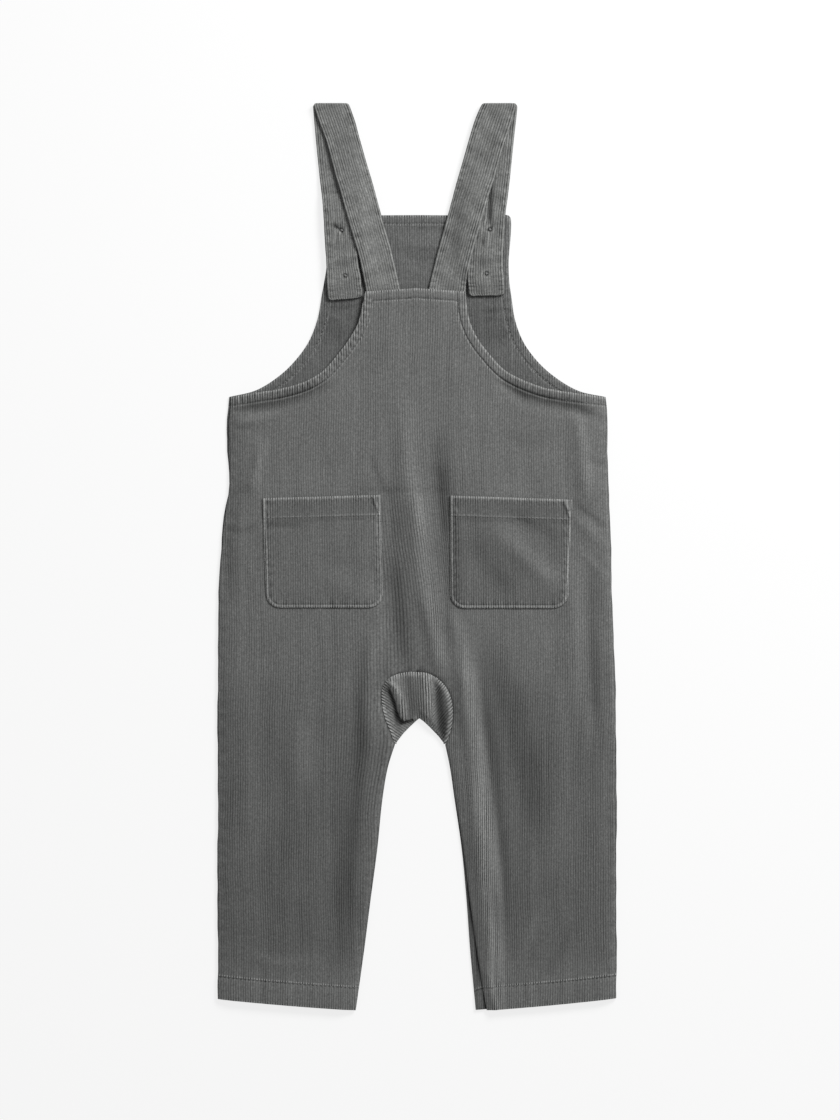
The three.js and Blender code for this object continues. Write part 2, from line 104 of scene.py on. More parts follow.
# %% Tables of the cut
CLOTH, STRAP = 1.2, 2.2              # thickness of the cloth, and of a strap, which is double
GAP = 0.3                            # between two layers that lie on each other
FRONT_Z = CLOTH / 2                  # heights of the middle of the front's and the back's cloth
BACK_Z = CLOTH + GAP + CLOTH / 2
LOFT, SEAM_ROUND = 2.7, 14.0         # how far the back bags up, and how far from a seam it is down
BIB_LIFT = 2.5                       # over a button, flat out to 14 and back down at 25
BIB_LIFT_FLAT, BIB_LIFT_FOOT = 14.0, 25.0
STRAP_FOLD_Y = 333.0
STRAP_FOLD_R = (STRAP + GAP) / 2
YOKE_Y, BIB_Y, UNDERARM_Y, SIDE_TOP_Y = 198.0, 252.5, 115.0, 118.0
GUSSET_TOP_Y, GUSSET_TIP_Y, SIDE_AT_GUSSET_Y = -85.5, -139.0, -75.0
GUSSET_MIDDLE = np.array([0.0, -112.0])
HEM_SAG = 0.5
INNER_HEM_Y, OUTER_HEM_Y = -335.3, {"left": -327.0, "right": -326.4}


def table(columns, rows):
    """Rows of numbers as one array for each named column"""
    names = columns.split()
    return dict(zip(names, np.array(rows, float).T))


# the back's side edges, and how far the front's edge shows beside each
SIDES = table("y left right leftPeek rightPeek", [
    (118, -137, 139.2, 2, 0.3), (100, -138.8, 140.4, 1.9, 0.5), (81, -138.4, 140.8, 1.7, 0.4),
    (52, -138.6, 141.2, 0.4, 0.4), (28, -142.2, 142.3, 1.1, 0.3), (-2, -144.8, 143.4, 0.6, 0.3),
    (-40, -146.6, 144.4, 0.3, 0.3), (-75, -147, 145.6, 0.3, 0.3), (-110, -147.2, 146.8, 0.3, 0.3),
    (-150, -147, 147.2, 0.3, 0.3), (-217, -147.2, 147.2, 0.3, 0.3), (-255, -147.2, 147.2, 0.3, 0.3),
    (-330, -147, 147.1, 0.3, 0.3),
])
# the inner edges of the legs; on the right leg the front reaches further in than the back does
INSEAMS = table("y left right rightFront", [
    (-139, -16.6, 21.2, 20.8), (-155, -21.6, 24.6, 24.2), (-177, -25.5, 28.2, 27.4),
    (-216, -29.6, 34.5, 33), (-254, -34.6, 39.4, 36.6), (-290, -39.2, 44.4, 39.2),
    (-335.3, -45.5, 51.8, 43.4),
])
ARMHOLES = table("leftX leftY rightX rightY", [
    (-38, 195.5, 35.8, 195.5), (-40.6, 184, 37, 184), (-43, 173.5, 39.2, 173),
    (-49.5, 161.5, 44.5, 161.5), (-57.5, 150.5, 53.5, 149.5), (-69.5, 137, 64.5, 138),
    (-81, 130, 77, 131), (-99, 124.3, 95, 124.5), (-119, 121, 118, 120.6),
    (-137, 118, 139.2, 118),
])
BIB_EDGES = table("leftX leftY rightX rightY", [
    (-65.6, 252.2, 65.8, 252.2), (-67.8, 251.2, 68.2, 251.2), (-68.5, 248.8, 69.1, 248.6),
    (-68.5, 240, 69.2, 240), (-67.4, 226, 68, 226), (-67, 214, 67.8, 212), (-68.5, 204, 68.4, 202),
    (-70.5, 193, 69.8, 192), (-73.5, 176, 72.5, 175), (-80, 159, 78.5, 159), (-90, 145, 88.5, 145),
    (-102, 133.5, 101, 133.5), (-119, 123, 119.5, 122.5), (-139, 118, 139.5, 118),
])
GUSSET_SEAMS = table("leftX leftY rightX rightY", [
    (0, -85.5, 0, -85.5), (-6, -85.4, 7, -86.2), (-15, -87.2, 14.5, -89.6),
    (-21.6, -90.9, 20.5, -95.4), (-25.6, -97.5, 24.6, -103.5), (-26.3, -107, 26.3, -113),
    (-24, -119, 25.6, -124), (-20.6, -128, 24, -132), (-16.6, -139, 21.2, -139),
])
# where the gusset folds over at the crotch, for shares of its seam from its top
GUSSET_FOLD = table("share leftX leftY rightX rightY", [
    (0, 1.5, -119.6, 1.5, -119.6), (0.08, -0.3, -121.2, 3, -120.5), (0.17, -2.4, -123.1, 5, -122),
    (0.25, -4.8, -125.4, 7, -123.8), (0.31, -6.9, -127.4, 8.8, -125.5), (0.335, -7.8, -128.4, 9.5, -126.2),
    (0.45, -9, -129.6, 11.8, -128.6), (0.6, -9.9, -130.6, 13.6, -130.5), (0.75, -10.8, -131.8, 15.2, -132.2),
    (0.88, -12.2, -133.5, 16.8, -134), (0.96, -14.4, -136.4, 18.9, -136.7), (0.99, -16, -138.4, 20.5, -138.5),
])
# middles of the buttons
BUTTONS = {
    "left_upper": (-55.5, 241.0), "right_upper": (54.0, 241.5),
    "left_lower": (-53.0, 207.5), "right_lower": (51.5, 209.0),
}


def column_at(rows, key, column, at):
    """A smooth curve through a table's rows: one column where another has the value at"""
    x, y = rows[key], rows[column]
    if x[-1] < x[0]:
        x, y = x[::-1], y[::-1]
    i = np.clip(np.searchsorted(x, at) - 1, 0, len(x) - 2)
    slope = np.diff(y) / np.diff(x)
    tangent = np.concatenate([slope[:1], (slope[:-1] + slope[1:]) / 2, slope[-1:]])
    step = x[i + 1] - x[i]
    t = np.clip((at - x[i]) / step, 0, 1)
    return (
        y[i] * (1 + 2 * t) * (1 - t) ** 2 + y[i + 1] * t * t * (3 - 2 * t)
        + tangent[i] * step * t * (1 - t) ** 2 - tangent[i + 1] * step * t * t * (1 - t)
    )


def lengths(line):
    """How far along a line of points each of them is"""
    return np.concatenate([[0], np.cumsum(np.hypot(*np.diff(line, axis=0).T))])


def line_at(rows, side, t):
    """Points on a table's line for shares t of its length"""
    x, y = rows[side + "X"], rows[side + "Y"]
    walked = {"length": lengths(np.stack([x, y], -1)), "x": x, "y": y}
    at = np.asarray(t) * walked["length"][-1]
    return np.stack([column_at(walked, "length", k, at) for k in "xy"], -1)


def column_line(rows, column, y):
    """Points of an edge that a table gives as x for each y"""
    return np.stack([column_at(rows, "y", column, y), y], -1)


print("underarm to underarm", round(float(SIDES["right"][0] - SIDES["left"][0]), 1), "mm")

# %% [markdown]
# ## Distances
# Turned edges, topstitching, puckers and folds are all told by how far a point lies from a line and how
# far along that line it is. One helper measures both for thousands of points at once.

# %% Distances to lines
def smoothstep(x):
    x = np.clip(x, 0, 1)
    return x * x * (3 - 2 * x)


def nearest(points, line):
    """How far each point is from a line of points, and how far along the line it is"""
    best = np.full(len(points), np.inf)
    along = np.zeros(len(points))
    walked = 0.0
    for a, b in zip(line[:-1], line[1:]):
        step = b - a
        length = math.hypot(*step)
        if length == 0:
            continue
        t = np.clip((points - a) @ step / length ** 2, 0, 1)
        away = np.hypot(*(points - a - t[:, None] * step).T)
        closer = away < best
        best[closer] = away[closer]
        along[closer] = walked + t[closer] * length
        walked += length
    return best, along


def bell(value, centre, width):
    """1 where a value is at a centre, falling softly to 0 away from it"""
    return np.exp(-((value - centre) / width) ** 2)


LIGHT_WAY = np.array([0.77, 0.64])      # the way on the table from which the light comes
FADE = 0.3      # share of a fold's length over which it fades out at each end


def soft_folds(points, rows, lean=0.0):
    """Height of soft ridges, and of troughs where the height is negative.

    A fold's row is its height, its width, and x and y of each point of its path.
    """
    height_here = 0
    for height, width, *path in rows:
        path = np.array(path, float).reshape(-1, 2) - lean * width * LIGHT_WAY
        away, along = nearest(points, path)
        share = along / lengths(path)[-1]
        fade = smoothstep(share / FADE) * smoothstep((1 - share) / FADE)
        uneven = width * (1 + 0.2 * np.sin(6 * share + 5 * height))
        height_here = height_here + height * fade * bell(away, 0, uneven)
    return height_here


FINE = np.linspace(0, 1, 49)
BOTH = ("left", "right")
EDGE = {}
for side in BOTH:
    EDGE["armhole_" + side] = line_at(ARMHOLES, side, FINE)
    EDGE["bib_" + side] = line_at(BIB_EDGES, side, FINE)
    EDGE["gusset_" + side] = line_at(GUSSET_SEAMS, side, FINE)
    EDGE["side_" + side] = column_line(SIDES, side, np.linspace(SIDE_TOP_Y, OUTER_HEM_Y[side], 49))
    EDGE["inseam_" + side] = column_line(INSEAMS, side, np.linspace(GUSSET_TIP_Y, INNER_HEM_Y, 33))
    EDGE["crotch_" + side] = np.stack([GUSSET_FOLD[side + "X"], GUSSET_FOLD[side + "Y"]], -1)
    hem = np.linspace(EDGE["inseam_" + side][-1], EDGE["side_" + side][-1], 25)
    hem[:, 1] -= HEM_SAG * np.sin(np.pi * np.linspace(0, 1, 25))
    EDGE["hem_" + side] = hem
EDGE["yoke"] = np.array([EDGE["armhole_left"][0], (0, YOKE_Y), EDGE["armhole_right"][0]])
EDGE["bib_top"] = np.array([EDGE["bib_left"][0], (0, BIB_Y), EDGE["bib_right"][0]])
SEAMS = [EDGE[k + side] for k in ("side_", "inseam_", "crotch_") for side in BOTH]
print(len(EDGE), "edges,", len(SEAMS), "of them hold the back down to the front")

# %% [markdown]
# ## How the cloth lies
# The largest folds are in the plain model. The smaller creases are listed in their own sizes, as
# soft ridges and troughs: the cloth bags a little at the hips, pulls at the crotch, and bulges behind
# each knee. Turned edges are double cloth, so they stand up, dip at the stitching and pucker.

# %% Folds of the back
# height and width of each fold, then x and y of the points along it
FOLDS = [
    # under the two armholes
    (-2.8, 4.2, -146, 107, -122, 110.5, -109, 112, -87, 119, -58, 131),
    (-2.8, 4.4, 54, 136, 80, 119.5, 95, 115.5, 117, 111, 142, 101),
    # down the middle
    (1.6, 8, -6, 128, -4.5, 60, 0.5, 30, 3, -10),
    (1.9, 5.5, 0, 60, 1, 38, 3, 5, 8, -40),
    (2.8, 5.5, 5, -14, 11.5, -43, 17, -73, 22, -96),
    (-1.5, 8, 16, 112, 18, 60, 22, 20, 26, -28, 24, -70),
    (-1.2, 4.5, 17, 76, 19.5, 38, 22, 5),
    (-1.2, 9, -20, 66, -16.5, 16, -14.5, -21, -10, -66, -6, -84),
    (-1.2, 8, -20, 6, -13, -47, -4, -96),
    (-0.6, 2.4, -44, 50, -10, 48.5, 30, 48.5),
    (-0.8, 3, -36, 80, -27, 56, -17, 36),
    # right leg
    (2.2, 5, 26, -30, 35.5, -73, 40, -108),
    (4.2, 7, 31, -56, 38, -95, 45, -150, 50, -206, 54, -262),
    (2.8, 8, 42, -150, 49, -206, 53, -250, 57, -290, 58, -345),
    (1.9, 3, 38, -95, 43, -117, 48, -143, 52, -180, 56.5, -217, 60, -245, 64, -290),
    (-1.5, 12, 44, -50, 66, -102, 82, -154, 88, -230),
    (-1.4, 4.5, 45, -60, 49, -95, 56, -150, 62, -206, 68, -300),
    (0.6, 6, 106, -80, 110, -150, 106, -235),
    (0.7, 4, 94, -250, 80, -290, 66, -318),
    (-0.7, 5, 116, -268, 104, -296, 88, -316),
    (2.6, 2.2, 50, -296, 55.5, -318, 61, -345),
    # right pocket and side
    (1.5, 8, 52, 30, 84, 1, 112, -26),
    (-0.8, 6, 62, 36, 90, 22, 114, 6),
    (-1, 10, 40, 22, 54, -6, 76, -34),
    (2.2, 4.4, 120, 110, 124, 75, 127, 38),
    (-0.5, 6, 112, 110, 113, 75, 116, 50, 121, -15),
    (1, 6, 116, 10, 119, -50, 119, -130),
    (-1.3, 5, 134, 20, 130, -60, 135, -150),
    (-0.9, 3, 112, 42, 128, 31, 144, 18),
    (0.8, 3, 113, 33, 128, 20, 144, 6),
    (0.6, 3, 116, 10, 144, -18),
    (-0.8, 3, 146, 69, 133, 69, 122, 73),
    (-0.5, 5, 58, 94, 84, 84, 108, 90),
    # left side and pocket
    (1.6, 4.4, -112, 92, -116, 68, -123, 42),
    (1.2, 3.5, -140, 98, -120, 101.5, -98, 108),
    (-0.9, 6, -134, 60, -138, 10, -138, -40),
    (-0.8, 2.6, -116, 23.5, -98, 22.5, -80, 23.5),
    (0.7, 9, -78, -4, -44, -22, -10, -36),
    (-0.8, 3, -144, 96, -130, 95, -116, 98),
    (-0.7, 3, -144, 51, -131, 49, -116, 50),
    (-0.7, 3, -146, 22, -131, 18, -112, 23),
    # left leg
    (-1.7, 9.5, -33, -30, -42.5, -150, -52, -243, -58, -330),
    (1.7, 6, -29, -40, -35, -100, -31, -150),
    (0.8, 6, -31, -110, -38, -190, -44, -270),
    (0.9, 8, -83, -112, -84, -145, -82, -178),
    (0.4, 10, -124, -40, -122, -150, -116, -260),
    (-0.4, 9, -98, -150, -104, -220, -100, -290),
    (0.6, 4.5, -132, -290, -100, -300, -62, -297),
]


def back_rise(points):
    """0 at the seams and 1 where the back is free of them"""
    seam = np.min([nearest(points, line)[0] for line in SEAMS], axis=0)
    return 1 - (1 - np.minimum(seam / SEAM_ROUND, 1)) ** 2


def ripple(points, size, seed):
    """A gentle unevenness, the same every time"""
    total = np.zeros(len(points))
    for i in range(5):
        angle = seed * 1.7 + i * 2.4
        wave = size * (1 + 0.37 * i)
        way = points @ np.array([math.cos(angle), math.sin(angle)])
        total += np.sin(2 * np.pi * way / wave + seed * 3.1 + i * 1.3) / (1 + i)
    return total / 2.3


def fold_relief(points, lean=0.6):
    """Height of all the folds together. They lean away from the light, which brightens their near side."""
    return soft_folds(points, FOLDS, lean)


def back_height(points):
    """Height of the middle of the back's cloth, before its edges are turned"""
    uneven = 0.14 * ripple(points, 34, 1) + 0.1 * ripple(points, 13, 2)
    return BACK_Z + (LOFT + fold_relief(points) + uneven) * back_rise(points)


print(len(FOLDS), "folds and creases on the back")

# %% [markdown]
# ## Turned edges and puckers
# A turned edge is a band of double cloth. It stands up a little, the topstitching sinks at its inner
# side, and between the stitches the cloth gathers in small uneven puckers. Dyeing and washing leave the
# raised band paler, and the puckers are painted paler on their crests and darker in their hollows as
# painted light and shade, so the same function also says how pale each point is.

# %% Turned edges
def turned_edge(points, line, width, pucker=0.25, period=7.0, lift=0.5, phase=0.0, roll=1.0, groove=0.4):
    """Relief of a band of turned cloth along a line, with its wear and the painted light and shade of its
    puckers.

    The band stands up by the lift, sinks by the groove at its stitches and by half the roll at its rim, and
    its gathers are as high as the pucker and a period apart.
    """
    away, along = nearest(points, line)
    band = smoothstep((width + 0.5 - away) / 1.2)
    sunk = bell(away, width, 0.75)
    uneven = along + 1.3 * np.sin(along / 11.0 + phase) + 0.8 * np.sin(along / 4.7 + 2 * phase)
    wave = np.sin(2 * np.pi * uneven / period + phase) + 0.5 * np.sin(2 * np.pi * uneven / (period * 0.61))
    strength = 0.55 + 0.25 * np.sin(along / 17.0 + phase * 1.9) + 0.3 * np.sin(along / 6.1 + phase)
    gather = pucker * strength * wave * bell(away, width * 0.6, width * 0.6)
    relief = lift * band - groove * sunk + gather - roll * 0.55 * (1 - smoothstep(away / 1.5))
    # the band is paler from wear, and the gathers are painted light on their crests and painted shade in
    # their hollows
    return relief, 0.15 * band + 1.3 * gather


def seam_ditch(points, line, depth=0.9, width=1.4, pucker=0.2, period=8.0, phase=0.0):
    """Relief beside a plain seam, a ditch with the cloth gathered on each side, and its wear with painted
    light and shade
    """
    away, along = nearest(points, line)
    ditch = bell(away, 0, width)
    wave = np.sin(2 * np.pi * (along + 1.5 * np.sin(along / 9.0 + phase)) / period + phase)
    gather = pucker * wave * bell(away, 3.0, 3.0)
    # the ditch is painted darker as shade, the gathers painted paler on their crests and darker in their
    # hollows, and the shoulders beside the ditch paler
    return -depth * ditch + gather, gather + 0.5 * bell(away, 1.6, 0.9) - 0.5 * ditch


FAR = 99.0      # a distance at which a mark has no effect


def side_by_side(*parts):
    """Vectors from their parts, each of them an array or one number for all"""
    return np.stack(np.broadcast_arrays(*parts), -1)


def sewing_marks(points, bands):
    """Where a point lies from the nearest turned edge and from that edge's row of stitches.

    The edge's mark is how far along it, how far from it and how gathered it is. The row's mark is how far
    along it, how far inside it, and how far inside a second row, which only the hems have.
    """
    edge = np.tile([0.0, FAR, 0.0], (len(points), 1))
    row = np.tile([0.0, FAR, FAR], (len(points), 1))
    for line, width, gather in bands:
        away, along = nearest(points, line)
        closer = away < edge[:, 1]
        edge[closer] = side_by_side(along, away, gather)[closer]
        second = away - width + (0.2 if width == HEM_BAND else FAR)
        row[closer] = side_by_side(along, away - width, second)[closer]
    return edge, row


def total(parts):
    """Sum of several pairs of relief, and of wear with painted light and shade"""
    relief, wear_and_painted_light = zip(*parts)
    return sum(relief), sum(wear_and_painted_light)


YOKE_BAND, ARMHOLE_BAND, BIB_BAND, HEM_BAND = 6.8, 6.2, 6.0, 16.5
BACK_BANDS = [
    (EDGE["yoke"], YOKE_BAND, 0.15), (EDGE["armhole_left"], ARMHOLE_BAND, 1.0),
    (EDGE["armhole_right"], ARMHOLE_BAND, 0.45), (EDGE["hem_left"], HEM_BAND, 0.15),
    (EDGE["hem_right"], HEM_BAND, 0.15),
]
FRONT_BANDS = [
    (EDGE["bib_top"], BIB_BAND, 0.1), (EDGE["bib_left"], ARMHOLE_BAND, 0.25),
    (EDGE["bib_right"], ARMHOLE_BAND, 0.25), (EDGE["hem_left"], HEM_BAND, 0.1),
    (EDGE["hem_right"], HEM_BAND, 0.1),
]


def back_dressing(points):
    """What sewing does to the back: its turned edges, hems and seams"""
    parts = [turned_edge(points, EDGE["yoke"], YOKE_BAND, pucker=0.12, period=9, phase=0.4, groove=0.55)]
    for side, pucker, period, phase in (("left", 0.36, 5.3, 0.0), ("right", 0.17, 5.2, 1.3)):
        parts.append(turned_edge(points, EDGE["armhole_" + side], ARMHOLE_BAND, pucker, period, 0.6, phase))
        parts.append(turned_edge(points, EDGE["hem_" + side], HEM_BAND, 0.22, 13, 0.55, phase + 2))
        parts.append(seam_ditch(points, EDGE["gusset_" + side], 1.3, 1.1, phase=phase))
        parts.append(seam_ditch(points, EDGE["side_" + side], 0.3, 1.2, 0.16, 11, phase))
        parts.append(seam_ditch(points, EDGE["inseam_" + side], 0.3, 1.2, 0.16, 10, phase + 1))
    return total(parts)


print("bands in mm:", YOKE_BAND, ARMHOLE_BAND, BIB_BAND, HEM_BAND)

# %% [markdown]
# ## Making a sheet
# A piece of cloth is made with one or more grids from bmesh. A function gives each vertex its place from
# its two shares, across and along. Grids that meet are welded, and a Solidify modifier gives the cloth
# its thickness. The flat position of the cloth goes into a UV map, in metres, so that the wales can
# follow the grain. The wear with its painted light and shade, and the marks of the sewing, go into
# attributes that the material reads.

# %% Sheets from grids
WELD = 0.02          # grid points closer than this are one point
WORN_EDGE = 0.32     # rounding of the cloth's cut edges


def add_grid(bm, across, along, place):
    """A grid whose vertices a function places from their shares, across and along, with their attributes"""
    vectors = {k: bm.verts.layers.float_vector.get(k) or bm.verts.layers.float_vector.new(k)
               for k in ("grain", "edge", "row")}
    # the first float holds real wear together with painted light and shade
    numbers = {k: bm.verts.layers.float.get(k) or bm.verts.layers.float.new(k) for k in ("wear_and_painted_light", "thick")}
    made = bmesh.ops.create_grid(bm, x_segments=across, y_segments=along, size=0.5)["verts"]
    shares = np.array([(v.co.x + 0.5, 0.5 - v.co.y) for v in made])
    cloth = place(shares[:, 0], shares[:, 1])
    where = np.column_stack([cloth["xy"], cloth["z"]]) * MM
    values = {k: np.asarray(cloth[k]) for k in numbers}
    for k in vectors:
        values[k] = np.zeros((len(made), 3))
        values[k][:, :cloth[k].shape[1]] = cloth[k]
    for i, v in enumerate(made):
        v.co = where[i]
        for k, layer in vectors.items():
            v[layer] = values[k][i]
        for k, layer in numbers.items():
            v[layer] = values[k][i]


def mesh_object(name, bm):
    """An object with smooth faces from a finished bmesh"""
    for face in bm.faces:
        face.smooth = True
    mesh = bpy.data.meshes.new(name)
    bm.to_mesh(mesh)
    bm.free()
    print(name, len(mesh.polygons), "faces")
    return add_object(name, mesh)


def finish_sheet(bm, name, thickness, offset=0.0, under=0):
    """Weld the grids and turn them into a piece of cloth with a real thickness"""
    bmesh.ops.remove_doubles(bm, verts=bm.verts, dist=WELD * MM)
    bmesh.ops.recalc_face_normals(bm, faces=bm.faces)
    up = sum(f.normal.z * f.calc_area() for f in bm.faces)
    if up < 0:
        bmesh.ops.reverse_faces(bm, faces=bm.faces)
    grain = bm.verts.layers.float_vector["grain"]
    uv = bm.loops.layers.uv.new("grain_uv")
    for face in bm.faces:
        for loop in face.loops:
            loop[uv].uv = loop.vert[grain].xy * MM
    piece = mesh_object(name, bm)
    group = piece.vertex_groups.new(name="thick")
    for i, value in enumerate(piece.data.attributes["thick"].data):
        group.add([i], float(value.value), "REPLACE")
    solid = piece.modifiers.new("thickness", "SOLIDIFY")
    solid.thickness = thickness * MM
    solid.offset = offset
    solid.vertex_group = "thick"
    solid.material_offset = under
    solid.use_quality_normals = True
    bevel = piece.modifiers.new("worn edge", "BEVEL")
    bevel.width = WORN_EDGE * MM
    bevel.segments = 2
    bevel.limit_method = "ANGLE"
    bevel.angle_limit = math.radians(50)
    bevel.use_clamp_overlap = True
    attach(piece, "root")
    return piece


def edgeward(share):
    """Shares crowded towards 1, so that the cells are finest along the outer edge"""
    return 1 - (1 - share) ** 1.4


def lay(inner, outer, across):
    """Points between two lines, for shares across from the inner to the outer one"""
    return inner * (1 - across[:, None]) + outer * across[:, None]


# %% [markdown]
# ## Halves of a panel
# The front and the back are each cut on the fold, so each is laid as two halves that share the centre
# line. A half has four grids from top to bottom: the chest beside the armhole, the body, the stretch
# beside the gusset, and the leg.

# %% Halves of a panel
EDGE_WAVE = 0.12     # how far the side seam pulls the cloth in and out
FINENESS = 1.0


def half_panel(bm, side, shape, surface):
    """The four grids of one half of the front or the back"""
    def centre(start, end):
        return lambda t: np.stack([0 * t, start + (end - start) * t], -1)

    def side_at(start, end):
        return lambda t: shape["side"](side, start + (end - start) * t)

    def inseam_at(t):
        y = GUSSET_TIP_Y + (INNER_HEM_Y - GUSSET_TIP_Y) * t
        return column_line(INSEAMS, shape["inseam"][side], y)

    stretches = [
        ("chest", centre(shape["top"], UNDERARM_Y), lambda t: line_at(shape["edge"], side, t)),
        ("body", centre(UNDERARM_Y, GUSSET_TOP_Y), side_at(SIDE_TOP_Y, SIDE_AT_GUSSET_Y)),
        ("crotch", lambda t: line_at(GUSSET_SEAMS, side, t), side_at(SIDE_AT_GUSSET_Y, GUSSET_TIP_Y)),
        ("leg", inseam_at, side_at(GUSSET_TIP_Y, OUTER_HEM_Y[side])),
    ]
    for name, inner, outer in stretches:
        def place(across, along):
            share = edgeward(across if side == "right" else 1 - across)
            points = lay(inner(along), outer(along), share)
            if name != "chest":
                y = points[:, 1]
                wave = np.sin(y / 3.3) + 1.4 * np.sin(y / 7.9 + 1) + 2 * np.sin(y / 17)
                points[:, 0] += EDGE_WAVE * wave * share ** 10
            if name == "leg":
                points[:, 1] -= HEM_SAG * np.sin(np.pi * share) * smoothstep((along - 0.8) / 0.2)
            return surface(points)
        add_grid(bm, shape["across"], shape["rows"][name], place)


def grain_of(points):
    """Where a point of the panel was on the flat cloth: the wales drift with the fold down the centre"""
    x, y = points.T
    drift = 13 * smoothstep((105 - y) / 183) * bell(x, 6, 34)
    lean = np.sign(x) * 4.5 * smoothstep((-139 - y) / 60) * bell(np.abs(x), 30, 26)
    wobble = 0.5 * np.sin(y / 41) + 0.35 * np.sin(y / 17 + x / 29)
    return np.stack([x - drift - lean + wobble, y], -1)


def rows(**counts):
    """How many cells each stretch of a half has from top to bottom"""
    return {name: max(4, round(count * FINENESS)) for name, count in counts.items()}


# %% [markdown]
# ## Back
# The back is the piece that shows most. It takes the folds above, then its sewing is pressed into it.
# The plain node stays, hidden, and this piece stands for it. The plain node stays for collision, and
# this piece stands for it.

# %% Back
FOLD_PAINTED_LIGHT = 0.28     # painted light and shade: how much paler a fold's ridge and darker its trough is painted, for each mm of its height
LEG_PAINTED_SHADE = 0.28      # painted shade: the legs painted darker than the seat, as the light falls off towards them, turning slightly paler at the hems
BACK_LOWEST = BACK_Z - 0.35


def back_surface(points):
    """The back's cloth at any points: its place, its grain and the marks that its material reads"""
    relief, wear_and_painted_light = back_dressing(points)
    y = points[:, 1]
    # painted shade on the legs, and painted light and shade on the folds: paler on their ridges, darker in
    # their troughs
    legs = smoothstep((-40 - y) / 110) * (1 - 1.25 * smoothstep((-285 - y) / 30))
    wear_and_painted_light += FOLD_PAINTED_LIGHT * fold_relief(points, lean=0) - LEG_PAINTED_SHADE * legs
    # a painted light band beside the right leg's inseam, where the ridge beside it is in shade
    from_inseam = nearest(points, EDGE["inseam_right"])[0]
    wear_and_painted_light += smoothstep((-95 - y) / 60) * bell(from_inseam, 9, 7)
    edge, row = sewing_marks(points, BACK_BANDS)
    return {
        "xy": points, "z": np.maximum(back_height(points) + relief, BACK_LOWEST),
        "grain": grain_of(points), "wear_and_painted_light": wear_and_painted_light, "thick": np.ones(len(points)), "edge": edge, "row": row,
    }


BACK_SHAPE = {
    "top": YOKE_Y, "edge": ARMHOLES, "inseam": {"left": "left", "right": "right"},
    "side": lambda side, y: column_line(SIDES, side, y),
    "across": round(80 * FINENESS), "rows": rows(chest=76, body=84, crotch=28, leg=84),
}
bm = bmesh.new()
for side in BOTH:
    half_panel(bm, side, BACK_SHAPE, back_surface)
back = finish_sheet(bm, "back", CLOTH, under=1)
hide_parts("back_panel")

# %% [markdown]
# ## Front
# Of the front only the inside of the bib shows, the slivers beside the back and the edge of the right
# leg. Its underside lies flat on the surface, so the relief goes into the thickness, which grows
# upwards from that flat face. The bib rises where its buttons lie under it.

# %% Front
FRONT_THICKEST, FRONT_THINNEST = 2.6, 0.55


def bib_lift(points):
    """How far the bib is lifted by the buttons under it"""
    lifts = []
    for name in ("left_upper", "right_upper"):
        away = np.hypot(*(points - BUTTONS[name]).T)
        lifts.append(1 - smoothstep((away - BIB_LIFT_FLAT) / (BIB_LIFT_FOOT - BIB_LIFT_FLAT)))
    return BIB_LIFT * np.max(lifts, axis=0)


def front_dressing(points):
    """What sewing does to the front: its turned edges and hems"""
    parts = [turned_edge(points, EDGE["bib_top"], BIB_BAND, 0.14, 9, 0.45, 0.8, roll=0.4, groove=0.3)]
    for side, phase in (("left", 0.6), ("right", 2.1)):
        bib, hem = EDGE["bib_" + side], EDGE["hem_" + side]
        parts.append(turned_edge(points, bib, ARMHOLE_BAND, 0.2, 7, 0.35, phase, roll=0.4, groove=0.15))
        parts.append(turned_edge(points, hem, HEM_BAND, 0.1, 13, 0.5, phase, roll=0.4))
    return total(parts)


def front_side(side, y):
    """The front's side edge, which peeks out beside the back's"""
    out = -1 if side == "left" else 1
    edge = column_line(SIDES, side, y)
    edge[:, 0] += out * column_at(SIDES, "y", side + "Peek", y)
    return edge


BIB_CREASES = [
    (0.5, 3.5, -24, 236, 0, 232, 22, 237), (-0.4, 3, -20, 226, 2, 224, 18, 228),
    (0.4, 4, -10, 216, 4, 208, 10, 202), (0.5, 3, -66, 180, -58, 176, -50, 166),
    (-0.4, 3, -70, 172, -62, 163, -56, 156), (0.5, 3, 64, 184, 56, 172, 50, 166),
    (-0.5, 1.6, 44, 181, 50, 180, 70, 183), (0.5, 1.6, 44, 186, 54, 185, 72, 187),
    (-0.4, 1.6, 44, 175, 54, 174, 74, 176), (-0.5, 1.6, -74, 186, -60, 183, -40, 186),
    (0.5, 1.6, -76, 180, -60, 177, -42, 180), (-0.5, 1.8, -16, 244, 4, 242, 30, 243),
    (0.5, 1.8, -16, 231, 4, 229, 26, 232), (-0.5, 1.8, -12, 222, 4, 219, 20, 221),
    (-0.5, 3, 68, 168, 60, 160, 58, 154), (0.4, 3, -86, 150, -78, 145, -70, 141),
    (0.4, 3, 86, 150, 80, 144, 72, 142), (0.6, 2.2, 43, 243, 45, 252),
]


